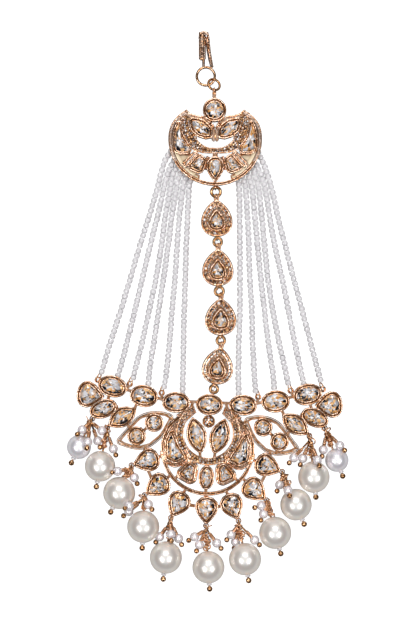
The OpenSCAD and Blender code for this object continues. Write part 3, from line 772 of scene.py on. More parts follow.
@dataclass(frozen=True)
class PearlFinish(Finish):
    """Nacre: a pale body with soft mottling under a clear coat, with painted shade and painted light by
    facing, and a painted glow.
    """

    body: Colour = (0.86, 0.84, 0.83)  # main colour
    shade: Colour = (0.83, 0.79, 0.74)  # colour of the darker patches
    rim: Colour = (0.98, 0.91, 0.82)  # painted colour towards the outline: painted light where lighter, painted shade where darker as on the small pearls
    painted_shade_ring: Colour = (0.74, 0.68, 0.63)  # painted shade: the darker ring between the middle and the rim
    metallic: float = 0.45  # share of mirror-like depth
    roughness: float = 0.33  # roughness of the body
    subsurface: float = 0.05  # share of light that enters
    glow: float = 0.05  # painted light: a glow of the surface's own colour

    def inputs(self, tree: MaterialTree) -> dict[str, object]:
        """A patchy body, which turns to a painted shade ring and a painted rim towards the outline, and glows
        as painted light.

        Args:
            tree: the material's nodes.

        Returns:
            Values and sockets by input name.
        """
        # Painted shade ring and painted rim, by how squarely the surface faces the camera.
        facing = tree.add("LayerWeight", {"Blend": 0.5}).outputs["Facing"]
        painted_shade_ring = tree.ramp(facing, [(0.05, BLACK), (0.13, WHITE), (0.2, WHITE), (0.34, BLACK)])
        edge = tree.ramp(facing, [(0.2, BLACK), (0.55, WHITE)])
        patchy = tree.mix(tree.patches(260.0), self.body, self.shade)
        tint = tree.mix(painted_shade_ring, tree.mix(edge, patchy, self.rim), self.painted_shade_ring)
        return {
            "Base Color": tint,
            # Painted glow of the surface's own colour.
            "Emission Color": tint,
            "Emission Strength": self.glow,
            "Metallic": self.metallic,
            "Roughness": self.roughness,
            "Subsurface Weight": self.subsurface,
            "Subsurface Scale": 0.002,
            "Coat Weight": 1.0,
            "Coat Roughness": 0.27,
            "Sheen Weight": 0.05,
        }


@dataclass(frozen=True)
class GlassBeadFinish(Finish):
    """Milky translucent glass with faint streaks along the bead."""

    body: Colour = (0.97, 0.94, 0.97)  # main colour
    shade: Colour = (0.88, 0.85, 0.88)  # colour of the streaks
    transmission: float = 0.2  # share of light that passes

    def inputs(self, tree: MaterialTree) -> dict[str, object]:
        """A streaky body that lets some light in and some through.

        Args:
            tree: the material's nodes.

        Returns:
            Values and sockets by input name.
        """
        return {
            "Base Color": tree.mix(tree.patches(700.0), self.body, self.shade),
            "Roughness": 0.3,
            "IOR": 1.5,
            "Subsurface Weight": 0.3,
            "Subsurface Scale": 0.0015,
            "Subsurface Radius": WHITE,
            "Transmission Weight": self.transmission,
            "Coat Weight": 0.6,
            "Coat Roughness": 0.06,
        }


@dataclass(frozen=True)
class FloorFinish(Finish):
    """Plain white table, faintly uneven."""

    body: Colour = (0.38, 0.38, 0.38)  # main colour
    glow: float = 0.98  # light of its own that only the camera sees, as on a lit table

    def inputs(self, tree: MaterialTree) -> dict[str, object]:
        """An uneven body, and a glow that only the camera sees.

        Args:
            tree: the material's nodes.

        Returns:
            Values and sockets by input name.
        """
        seen = tree.add("LightPath").outputs["Is Camera Ray"]
        return {
            "Base Color": tree.mix(tree.patches(8.0), self.body, tuple(c * 0.99 for c in self.body)),
            "Roughness": 0.9,
            "Emission Color": WHITE,
            "Emission Strength": tree.maths("MULTIPLY", seen, self.glow),
        }


class Finishes:
    """Every material of the piece, by the record's slot or a name of its own."""

    def __init__(self) -> None:
        """Builds the shared groups and the materials."""
        effects = Effects()
        sand, honey = (0.78, 0.58, 0.34), (0.84, 0.66, 0.42)
        # The last two colours of pale and small are the painted rim and the painted shade ring.
        pale = ((0.98, 0.96, 1.0), (0.93, 0.91, 0.96), (0.93, 0.90, 0.95), (0.74, 0.71, 0.76))
        small = ((0.96, 0.92, 0.96), (0.88, 0.83, 0.86), (0.72, 0.66, 0.68), (0.78, 0.72, 0.74))
        # Both colours of the near-black painted shade laid in grooves, pits and seams.
        dark, worn = (0.20, 0.085, 0.035), (0.09, 0.035, 0.014)
        wrap, hook = ((0.95, 0.60, 0.38), (0.60, 0.30, 0.14)), ((0.80, 0.60, 0.48), (0.50, 0.27, 0.14))
        satin = ((0.60, 0.46, 0.39), (0.42, 0.28, 0.20))
        recipes = {
            Metal.CAST.value: GoldFinish("cast rose gold"),
            "upper_cast": GoldFinish("cast rose gold, raised", back=UPPER_LIFT),
            "link_cast": GoldFinish("cast rose gold, links", back=-0.7),
            "bright_plate": GoldFinish("polished channel", (1.0, 0.95, 0.88), (0.72, 0.52, 0.38), back=-9.0),
            # Near-black painted shade for the grooves, pits and seams.
            "wash": GoldFinish("dark painted shade", dark, worn, back=-9.0, roughness=0.3),
            Metal.WIRE.value: GoldFinish("rose gold wire", (0.72, 0.43, 0.23), (0.42, 0.20, 0.07), back=-2.0),
            "wrap": GoldFinish("rose gold wrap", *wrap, back=-2.0, roughness=0.24),
            Metal.HOOK.value: GoldFinish("hook plate", *hook, back=-2.0, roughness=0.1),
            "satin": GoldFinish("satin rim", *satin, back=-9.0, roughness=0.22),
            "crystal": StoneFinish("foil-backed crystal"),
            "pave": StoneFinish("pave crystal", 2.2, 0.9, 0.2, 0.6, 0.14),
            # The filling turns to honey towards its edges by facing, as painted shade.
            "inlay": PearlFinish("pale filling", (0.90, 0.78, 0.57), sand, honey, honey, 0.1, 0.3, 0.0, 0.0),
            "seed_bead": GlassBeadFinish("milk glass beads"),
            "pearl": PearlFinish("cream pearl"),
            "pale_pearl": PearlFinish("white pearl", *pale),
            "small_pearl": PearlFinish("small pearl", *small, 0.3, 0.25),
            "floor": FloorFinish("white table"),
        }
        self.made = {slot: recipe.make(effects) for slot, recipe in recipes.items()}

    def __getitem__(self, slot: str) -> bpy.types.Material:
        """Returns the material of a slot."""
        return self.made[slot]

    def dress_frame(self) -> None:
        """Gives every CAD node the material of its slot, or its own kind of it."""
        own = {"upper_crescent": "upper_cast"} | {f"link_{k}": "link_cast" for k in range(1, 5)}
        for part in frame["record"]["subparts"]:
            for slot in frame["nodes"][part["node"]].material_slots:
                slot.material = self[own.get(part["node"], part["material_slot"])]


@dataclass
class Workshop:
    """Turns surfaces into pieces of the headpiece."""

    finishes: Finishes  # the materials
    count: int = 0  # pieces made so far

    def piece(
        self,
        name: str,
        part: Surface,
        slot: str = Metal.CAST.value,
        finish: Optional[str] = None,
        replaces: Sequence[str] = (),
        shading: Shading = Shading.SMOOTH,
    ) -> None:
        """Makes a Blender object from a surface, riding on the headpiece's one body.

        Args:
            name: the piece's name.
            part: its surface.
            slot: the record's material slot.
            finish: the material, if not the slot's own.
            replaces: CAD nodes that it stands for.
            shading: faceted or smooth.
        """
        mesh = bpy.data.meshes.new(name)
        mesh.from_pydata((part.points * MM).tolist(), [], part.tris.tolist())
        if part.facet is not None:
            values = mesh.attributes.new("facet", "FLOAT_VECTOR", "CORNER")
            values.data.foreach_set("vector", part.facet.astype(np.float32).ravel())
        mesh.polygons.foreach_set("use_smooth", np.full(len(part.tris), shading is Shading.SMOOTH))
        mesh.materials.append(self.finishes[finish or slot])
        mesh.update()
        thing = put_in_scene(name, mesh)
        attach(thing, BODY)
        if replaces:
            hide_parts(*replaces)
        self.count += 1
        log.info("%s: %d triangles", name, len(part.tris))


def put_in_scene(name: str, data: bpy.types.ID) -> bpy.types.Object:
    """Puts a new object into the scene, at the origin.

    Args:
        name: its name.
        data: its mesh, light or camera.

    Returns:
        The object.
    """
    thing = bpy.data.objects.new(name, data)
    bpy.context.scene.collection.objects.link(thing)
    return thing


# Stones


@dataclass
class StoneSeat:
    """One stone of the frame, in millimetres."""

    outline: Array  # its girdle, anticlockwise
    levels: Array  # heights of culet flat, girdle, top of girdle and table

    def lip_path(self, count: int, keep: int) -> Array:
        """Returns count points of the outline with its slowest waves alone."""
        return rounded(self.outline, count, keep)


def merged_mesh(node: str) -> tuple[Array, Array]:
    """Reads a CAD node's mesh with the corners at one place made one.

    Args:
        node: the node's name.

    Returns:
        The corners in millimetres, and the triangles.
    """
    mesh = frame["nodes"][node].data
    mesh.calc_loop_triangles()
    co = np.empty(len(mesh.vertices) * 3)
    mesh.vertices.foreach_get("co", co)
    tri = np.empty(len(mesh.loop_triangles) * 3, int)
    mesh.loop_triangles.foreach_get("vertices", tri)
    keys, merged = np.unique(np.round(co.reshape(-1, 3) / MM, 3), axis=0, return_inverse=True)
    return keys, merged.ravel()[tri].reshape(-1, 3)


def stones_of(node: str) -> list[StoneSeat]:
    """Reads the stones of a CAD node, one seat for each loose solid.

    Every corner takes the lowest number among its triangles until nothing changes,
    which parts the solids.

    Args:
        node: the node's name.

    Returns:
        The seats.
    """
    keys, tri = merged_mesh(node)
    fresh, label = np.arange(len(keys)), None
    while not np.array_equal(fresh, label):
        label = fresh.copy()
        np.minimum.at(fresh, tri.ravel(), np.repeat(label[tri].min(axis=1), 3))
    seats = []
    for number in np.unique(label):
        points = keys[label == number]
        levels = np.unique(np.round(points[:, 2], 2))
        girdle = points[np.abs(points[:, 2] - levels[1]) < 0.02][:, :2]
        around = girdle - girdle.mean(axis=0)
        order = np.argsort(np.arctan2(around[:, 1], around[:, 0]))
        seats.append(StoneSeat(girdle[order], levels[[0, 1, -2, -1]]))
    return seats


@dataclass
class StoneCutter:
    """Cuts stones: culet flat, girdle, upper girdle facets, kites, stars and a table."""

    culet: float = 0.6  # radius share of the culet flat
    mid: float = 0.83  # radius share of the ring where girdle facets and kites meet
    mid_rise: float = 0.55  # height of that ring, as a share of the crown
    table: float = 0.6  # radius share of the table
    under: float = 1.8  # radius share that the culet's centre counts as in the pattern

    def cut(self, seat: StoneSeat, number: int) -> Surface:
        """Cuts one stone into its seat.

        Five rings follow the outline, each scaled about its middle; the fourth ring
        has its points between the corners. A last point closes the table and one the
        culet. Facet values run on past a full turn, so that no facet spans the seam.

        Args:
            seat: the outline and heights.
            number: the stone's number, for its own pattern.

        Returns:
            The closed stone, with facet values.
        """
        n = len(seat.outline)
        full = np.stack([seat.outline, (seat.outline + np.roll(seat.outline, -1, axis=0)) / 2], axis=1)
        full = full.reshape(-1, 2)
        middle, z = full.mean(axis=0), seat.levels
        crown = z[2] + self.mid_rise * (z[3] - z[2])
        scales = (self.culet, 1.0, 1.0, self.mid, self.table)
        heights = (z[0], z[1], z[2], crown, z[3])
        rings = [middle + s * (full[k == 3 :: 2] - middle) for k, s in enumerate(scales)]
        points = [raised(ring, h) for ring, h in zip(rings, heights)]
        points += [np.array([*middle, z[0]]), np.array([*middle, z[3]])]
        at = np.arange(5 * (n + 1)).reshape(5, n + 1)
        i, j, low, top = at[:, :-1], at[:, 1:], at.size, at.size + 1
        tris = [faces(low, j[0], i[0])]
        tris += [split_quads(faces(i[k], j[k], j[k + 1], i[k + 1])) for k in (0, 1)]
        tris += [faces(i[2], j[2], i[3]), faces(i[2], i[3], i[4]), faces(i[2], i[4], np.roll(i[3], 1))]
        tris = np.vstack([*tris, faces(i[3], j[4], i[4]), faces(top, i[4], j[4])])
        share = np.empty((5, n + 1, 3))
        share[:, :, 0] = np.arange(n + 1)[None] / n
        share[3, :, 0] += 0.5 / n
        share[:, :, 1] = np.array([1.4, 1.1, 1.0, self.mid, self.table])[:, None]
        share[:, :, 2] = number
        facet = np.vstack([share.reshape(-1, 3), [[0.5, self.under, number], [0.5, 0.0, number]]])[tris]
        hub = (facet[:, :, 1] == 0.0) | (facet[:, :, 1] == self.under)
        facet[:, :, 0] = np.where(hub, facet[:, [1], 0] * 0.5 + facet[:, [2], 0] * 0.5, facet[:, :, 0])
        real = np.concatenate([k * n + np.append(np.arange(n), 0) for k in range(5)] + [[5 * n, 5 * n + 1]])
        return Surface(np.vstack(points), real[tris], facet.reshape(-1, 3))


@dataclass
class Lip:
    """Bezel edge of two fine wires with a strip of painted shade in the groove between them."""

    # Middle, half width and half height of the outer wire, out from the girdle
    outer: tuple = (0.44, 0.26, 0.28)
    inner: tuple = (-0.32, 0.2, 0.2)  # the same of the inner wire, rubbed over the stone's edge
    groove_shade: tuple = (0.03, 0.17, 0.05)  # the same of the painted shade strip on the groove's floor
    small: float = 1.7  # least half width of a stone that has room for the whole inner wire

    def round(self, seat: StoneSeat, z: float, keep: int) -> tuple[Surface, Surface]:
        """Lays the lip round a stone.

        Args:
            seat: the stone.
            z: height of the wall's top.
            keep: waves kept of the outline.

        Returns:
            The two wires, and the painted shade strip in the groove.
        """
        path = seat.lip_path(56, keep)
        room = min(1.0, np.linalg.norm(path - path.mean(axis=0), axis=1).min() / self.small) ** 2
        sizes = (self.outer, (self.inner[0] * room, *self.inner[1:]))
        wires = joined(band(path, z, half, out) for out, *half in sizes)
        return wires, band(path, z + 0.02, self.groove_shade[1:], self.groove_shade[0], 6)


@dataclass
class StoneGroup:
    """The stones of some CAD nodes, with their bezels."""

    label: str  # name of the group
    nodes: dict[str, int]  # the CAD nodes, with the waves to keep for each
    lift: float = 0.0  # how far the setting walls are raised
    wall_top: float = 2.7  # height of the setting walls
    cutter: StoneCutter = field(default_factory=StoneCutter)
    lip: Lip = field(default_factory=Lip)

    def build(self, shop: Workshop) -> None:
        """Cuts every stone and lays every lip.

        Args:
            shop: makes the pieces.
        """
        lips, number = [], 0
        for node, keep in self.nodes.items():
            seats = stones_of(node)
            cut = joined(self.cutter.cut(seat, number + k) for k, seat in enumerate(seats))
            number += len(seats)
            shop.piece("cut_" + node, cut, "crystal", None, [node], Shading.FACETED)
            lips += [self.lip.round(seat, self.wall_top + self.lift, keep) for seat in seats]
        wires, groove_shades = (joined(parts) for parts in zip(*lips))
        shop.piece("bezels_" + self.label, wires)
        # Painted shade in the grooves between the lips' wires.
        shop.piece("bezel_groove_shades_" + self.label, groove_shades, finish="wash")


# Pave

GRAIN_R = 0.17  # radius of the grains in a flat field
GRAIN_UP = 0.05  # how far they are above the stones' girdles
GRAIN_OUT = 0.62  # how far they are from the row's line, in stone radii
SCATTER = np.array([0.2, 0.2, 0.15])  # how unevenly the stones lie, in stone radii


def pave_stone() -> Surface:
    """A small cut stone of radius 1 with its girdle at height 0.

    Rings of eight points: a lower ring at share 0.5, the girdle, and the table at
    share 0.62, turned by half a facet.

    Returns:
        The closed stone with facet values.
    """
    n = 8
    rings = [(0.5, 0.0, -0.7, 1.5), (1.0, 0.0, 0.0, 1.0), (0.62, 22.5, 0.42, 0.62)]
    points = np.vstack([raised(ellipse(s, s, n, a), h) for s, a, h, _ in rings])
    points = np.vstack([points, [[0, 0, -0.7], [0, 0, 0.42]]])
    i = np.arange(n)
    j = (i + 1) % n
    tris = [faces(3 * n, j, i), split_quads(faces(i, j, n + j, n + i)), faces(n + i, n + j, 2 * n + i)]
    tris = np.vstack([*tris, faces(n + j, 2 * n + j, 2 * n + i), faces(3 * n + 1, 2 * n + i, 2 * n + j)])
    angle = np.append(np.tile(i / n, 3), [0.5, 0.5])
    radius = np.append(np.repeat([ring[3] for ring in rings], n), [1.8, 0.0])
    return Surface(points, tris, np.column_stack([angle, radius, 0 * angle])[tris].reshape(-1, 3))


@dataclass
class PaveField:
    """Small stones with metal grains between them."""

    label: str  # name of the field
    at: Array  # places of the stones' girdles
    radius: float  # radius of each stone
    grains: Array  # places of the grains
    grain_r: float  # radius of a grain
    axis: Sequence = (0.0, 0.0, 1.0)  # outward directions of the stones
    grain_axis: Sequence = (0.0, 0.0, 1.0)  # outward directions of the grains
    replaces: Sequence[str] = ()  # CAD nodes that the stones stand for
    tilt: float = 0.12  # how unevenly the stones are set

    def build(self, shop: Workshop) -> None:
        """Sets the stones and the grains.

        Args:
            shop: makes the pieces.
        """
        rng = np.random.default_rng(len(self.at))
        axis = self.axis + self.tilt * rng.standard_normal(self.at.shape)
        stones = scattered(pave_stone(), self.at, axis, self.radius)
        shop.piece("pave_" + self.label, stones, "crystal", "pave", self.replaces, Shading.FACETED)
        shop.piece("grains_" + self.label, scattered(ball(), self.grains, self.grain_axis, self.grain_r))


def flat_field(label: str, rows: Sequence[Array], z: float, radius: float, pitch: float) -> PaveField:
    """A pave field of rows of stones on a flat channel.

    Args:
        label: name of the field.
        rows: flat paths that the stones follow.
        z: height of the girdles.
        radius: radius of each stone.
        pitch: distance between stones.

    Returns:
        The field, with two grains between neighbours, one to each side.
    """
    stones, grains = [], []
    for row in rows:
        dense = even(row, 2 * max(int(round(length_of(row) / pitch)), 2) + 1)
        stones.append(dense[1::2])
        out = along(dense, False)[:, ::-1] * [1, -1]
        grains += [dense[0::2] + side * GRAIN_OUT * radius * out[0::2] for side in (-1, 1)]
    at = raised(np.vstack(stones), z)
    rng = np.random.default_rng(len(at))
    at = at + SCATTER * radius * rng.standard_normal(at.shape)
    return PaveField(label, at, radius, raised(np.vstack(grains), z + GRAIN_UP), GRAIN_R)


# Castings


@dataclass
class Casting:
    """A round casting whose rim is two wires with a strip of painted shade in the groove between them."""

    label: str = ""  # its name
    at: tuple = (0.0, 0.0, 0.0)  # its place in the frame
    turn: float = 0.0  # its lean in degrees
    radius: float = 14.5  # outer radius of the rim
    centre: tuple = (0.0, 0.0)  # middle of the rim's circle
    horn: tuple = ()  # right edge above the circle
    rim_z: float = 1.9  # height of the rim's top
    pave_z: float = 1.7  # height of the stones' girdles in the pave channel
    pave: tuple = (0.4, 0.9)  # radius and pitch of the pave stones
    rim_pair: tuple = ((0.2, 0.22), (0.9, 0.18))  # inset and radius of the rim's two wires
    rim_groove_shade: tuple = ((0.3, 0.05), -0.58)  # half sizes of the painted shade strip in the groove between them, and its place

    def place(self, parts: Iterable[Surface]) -> Surface:
        """Returns surfaces of the casting's own plan, joined, in the frame."""
        return joined(parts).placed(self.at, self.turn)

    def rim(self) -> Array:
        """Returns the outer edge, from the left tip round the bottom to the right tip."""
        arc = polar(self.radius, np.linspace(-90, 7, 40)) + self.centre
        return arch(np.vstack([arc, smooth(self.horn, 6)]))

    def right_rim(self) -> Array:
        """Returns the right half of the outer edge, from its lowest point up."""
        return even(self.rim(), 201)[100:]

    def line(self, path: Array, wide: float, high: float, out: float = 0.0, up: float = 0.0) -> Surface:
        """Returns an open moulding of the given half sizes along a path, near the rim's height."""
        return band(path, self.rim_z + up, (wide, high), out, closed=False)

    def rim_wires(self, shop: Workshop) -> list[Surface]:
        """Lays the painted shade strip of the rim's groove as a piece.

        Args:
            shop: makes the piece.

        Returns:
            The two wires beside it.
        """
        edge = even(self.rim(), 120)
        groove_shade = self.place([band(edge, self.rim_z, *self.rim_groove_shade, 6, False)])
        # The groove's strip is near-black painted shade.
        shop.piece("rim_groove_shade_" + self.label, groove_shade, finish="wash")
        return [band(edge, self.rim_z, (r, r), -inset, 10, False) for inset, r in self.rim_pair]

    def pave_field(self, rows: Sequence[Array]) -> PaveField:
        """Returns the pave along rows of the casting's own plan."""
        rows = [turned(row, self.turn) + self.at[:2] for row in rows]
        return flat_field(self.label, rows, self.at[2] + self.pave_z, *self.pave)


@dataclass
class UpperCrescent(Casting):
    """Rim wires, pave and bezels of the upper crescent."""

    label: str = "upper"
    at: tuple = (*UPPER_AT, UPPER_LIFT)
    horn: tuple = ((14.3, 2.4), (13.6, 4.5), (12.4, 6.2), (10.9, 7.7), (9.1, 8.9))
    pave: tuple = (0.34, 0.74)
    # Upper edge from the tip to the round setting
    top: tuple = ((9.1, 8.9), (7.9, 7.8), (6.0, 7.1), (3.2, 6.7))
    # Outer edge of the pave channel, right half
    band_out: tuple = (
        (0, -4.4), (2.3, -4.4), (4.7, -4.1), (6.9, -3.2), (8.5, -1.4), (9.7, 0.8), (10.5, 3.5),
        (10.5, 6.0), (9.2, 8.2),
    )
    # Inner edge of the pave channel, right half
    band_in: tuple = (
        (0, -3.0), (2.6, -2.7), (4.7, -1.4), (5.7, -0.3), (5.9, 0.8), (7.1, 2.6), (7.7, 4.5), (7.7, 7.0),
    )
    # Share of the way from the outer edge, and the first point, of each pave row
    rows: tuple = ((0.14, 15), (0.38, 15), (0.62, 15), (0.86, 15), (0.26, 0), (0.74, 0))
    # Middle line of the petal beside the hanging stone, right half
    petal: tuple = ((2.05, -5.5), (2.75, -6.9), (3.0, -8.3), (3.1, -9.6))
    keel: tuple = ((0.0, 2.9), (0.0, -0.5))  # middle line of the bar between the leaves
    # Bars at the right edge of the notch under the round setting
    notch: tuple = (((1.35, 5.5), (0.2, 3.1)), ((1.62, 4.9), (0.68, 2.9)), ((1.7, 4.1), (1.15, 2.85)))
    petal_half: float = 0.62  # half width of a petal
    keel_half: float = 1.1  # half width of the bar
    ribs: tuple = (-0.75, -0.25, 0.25, 0.75)  # places of the ribs, in half widths
    satin: tuple = ((0.42, 0.12), -0.72)  # half sizes of the satin rim, and its place inside the edge
    satin_low: float = -7.5  # height on the plan of its lower ends
    filling: tuple = (0.58, 0.13)  # half sizes of the filling beside the rim
    filling_r: float = 12.72  # radius of its middle line
    filling_arc: tuple = (-61, -19)  # angles of its ends, right half

    def build(self, shop: Workshop) -> None:
        """Builds the crescent's looks.

        Args:
            shop: makes the pieces.
        """
        wires = self.rim_wires(shop)
        for side in both_sides(self.top):
            wires.append(tube(raised(even(smooth(side, 6), 24), self.rim_z), 0.3))
        for edge in (self.band_out, self.band_in):
            wires.append(tube(raised(even(arch(smooth(edge, 5)), 90), self.rim_z + 0.02), 0.2, 6))
        shop.piece("rim_wires_upper", self.place(wires), finish="upper_cast")
        self.sides(shop)
        self.petals(shop)
        self.pave_field(self.pave_rows()).build(shop)

    def sides(self, shop: Workshop) -> None:
        """Adds the satin rim of the sides and the filling inside it.

        Args:
            shop: makes the pieces.
        """
        half = self.right_rim()
        sides = both_sides(half[half[:, 1] > self.satin_low])
        rims = [band(even(side, 60), self.rim_z + 0.16, *self.satin, 10, False) for side in sides]
        shop.piece("rim_satin", self.place(rims), finish="satin")
        arcs = both_sides(polar(self.filling_r, np.linspace(*self.filling_arc, 40)))
        fill = [band(side, self.rim_z + 0.1, self.filling, 0.0, 10, False) for side in arcs]
        shop.piece("rim_filling", self.place(fill), "inlay")

    def petals(self, shop: Workshop) -> None:
        """Adds the ribbed petals, the keel and the notch's bars.

        Args:
            shop: makes the pieces.
        """
        beds, ribs = [], []
        petals = [(side, self.petal_half) for side in both_sides(smooth(self.petal, 5))]
        for line, width in (*petals, (np.array(self.keel), self.keel_half)):
            beds.append(band(line, 1.5, (width, 0.35), 0.0, 10, False))
            ribs += [self.line(line, 0.13, 0.16, share * width) for share in self.ribs]
        bars = np.array(self.notch)
        ribs += [tube(raised(bar, 2.2), 0.3) for bar in (*bars, *(bars * [-1, 1]))]
        shop.piece("petal_beds", self.place(beds), finish="wrap")
        shop.piece("petal_ribs", self.place(ribs), finish="upper_cast")

    def pave_rows(self) -> list[Array]:
        """The rows of the pave: four on each side and two along the bottom.

        Returns:
            Flat paths of the crescent's own plan.
        """
        outer, inner = even(smooth(self.band_out, 6), 60), even(smooth(self.band_in, 6), 60)
        rows = []
        for share, first in self.rows:
            path = outer + share * (inner - outer)
            rows += both_sides(path[first:57]) if first else [arch(path[:16])]
        return rows


@dataclass
class LowerPanel(Casting):
    """Rim wires, leaf wires, pave and bud of the wide panel."""

    label: str = "panel"
    at: tuple = (*PANEL_AT, 0.0)
    turn: float = PANEL_TURN
    centre: tuple = (0.0, -13.8)
    horn: tuple = ((14.35, -11.6), (13.9, -9.9), (12.6, -6.9), (10.0, -4.3), (7.0, -2.0))
    # Lowest point and inset of the fine lines beside the horns
    horn_lines: tuple = ((-11.0, 1.5), (-9.6, 2.1), (-8.4, 2.7))
    opening: tuple = (0.0, -8.9)  # middle of the crescent's opening
    edges: tuple = (7.8, 9.8)  # radii of the wires round the opening
    rows: tuple = (8.38, 9.25)  # radii of the pave rows round it
    # The leaf-shaped wire on the right
    leaf: tuple = (
        (11.6, -4.6), (13.3, -3.7), (15.3, -3.35), (18.4, -3.6), (21.4, -4.9), (23.5, -7.1), (25.6, -9.7),
        (27.8, -12.6), (26.0, -13.5), (24.1, -14.1), (21.0, -14.4), (18.0, -13.4), (15.0, -10.8),
        (13.5, -8.5),
    )
    # First and last line of those that join the right horn to the row of settings
    bridge: tuple = (((10.0, -3.9), (7.1, -1.9), (4.7, -0.8)), ((7.4, -5.5), (5.6, -3.8), (4.1, -2.4)))
    bud: tuple = ((0.0, -5.25), 1.0, 1.95)  # middle of the small ball, and its radius
    collar_size: float = 6.3  # length under which a stone of the crescent has a collar
    collar_from: float = 3.0  # distance from the middle line beyond which it has one
    wedge_size: float = 8.0  # length of the shortest wedge stone
    wedge_lines: tuple = (0.75, 1.25, 1.75)  # how far outside it the lines under it are
    wedge_rise: float = 3.4  # how far up its sides they go

    def build(self, shop: Workshop) -> None:
        """Builds the panel's looks.

        Args:
            shop: makes the pieces.
        """
        wires = self.rim_wires(shop)
        half = self.right_rim()
        for low, inset in self.horn_lines:
            for path in both_sides(half[half[:, 1] > low][:-4]):
                wires.append(self.line(even(path, 30), 0.17, 0.16, -inset))
        for r in self.edges:
            path = polar(r, np.linspace(-228, 48, 90)) + self.opening
            wires.append(tube(raised(path, self.rim_z), 0.22, 6))
        leaves = []
        for leaf in both_sides(self.leaf):
            path = even(smooth(leaf, 6, closed=True), 90, closed=True)
            leaves += [band(path, 1.3, (0.17, 0.2), -0.1), band(path, 1.25, (0.13, 0.18), -0.5)]
        shop.piece("leaf_wires", self.place(leaves), finish=Metal.WIRE.value)
        shop.piece("rim_wires_panel", self.place(wires))
        shop.piece("fan_collars", joined(self.collars()))
        outer, inner = (smooth(line, 6) for line in self.bridge)
        lines = [both_sides(outer + share * (inner - outer)) for share in (0.0, 0.33, 0.67, 1.0)]
        lines = [tube(raised(side, self.rim_z - 0.15), 0.32) for sides in lines for side in sides]
        shop.piece("horn_bridges", self.place(lines))
        arcs = [np.linspace(-226 + 3 * k, 46 - 3 * k, 120) for k in range(len(self.rows))]
        self.pave_field([polar(r, arc) + self.opening for r, arc in zip(self.rows, arcs)]).build(shop)
        self.bud_field().build(shop)

    def collars(self) -> list[Surface]:
        """Collars round the fan stones, and three lines under each wedge stone.

        Returns:
            The mouldings.
        """
        parts, wedges = [], []
        for seat in stones_of("crescent_stones"):
            size = np.ptp(seat.outline, axis=0).max()
            if size < self.collar_size and abs(seat.outline.mean(axis=0)[0] - PANEL_AT[0]) > self.collar_from:
                parts.append(band(seat.lip_path(56, 14), self.rim_z, (0.42, 0.3), 0.9))
            elif size >= self.wedge_size:
                path = seat.lip_path(80, 14)
                path = np.roll(path, -int(path[:, 1].argmax()), axis=0)
                low = path[path[:, 1] < path[:, 1].min() + self.wedge_rise]
                wedges += [self.line(low, 0.26, 0.26, out, -0.1) for out in self.wedge_lines]
        return parts + wedges

    def bud_field(self) -> PaveField:
        """The stones over the small ball: one on top and two rings.

        Returns:
            The field.
        """
        axis, grain = [UP], []
        for tilt, count in ((33, 6), (66, 11)):
            around = np.arange(count) * 360 / count + tilt
            for part, lean, turn in ((axis, tilt, around), (grain, tilt - 12, around + 180 / count)):
                lean = math.radians(lean)
                part.append(raised(polar(math.sin(lean), turn), math.cos(lean)))
        axis, grain = np.vstack(axis), np.vstack(grain)
        flat, z, radius = self.bud
        middle = np.array([*panel_place(flat), z])
        at, grains = middle + (radius + 0.02) * axis, middle + radius * grain
        return PaveField("bud", at, 0.4, grains, 0.2, axis, grain)


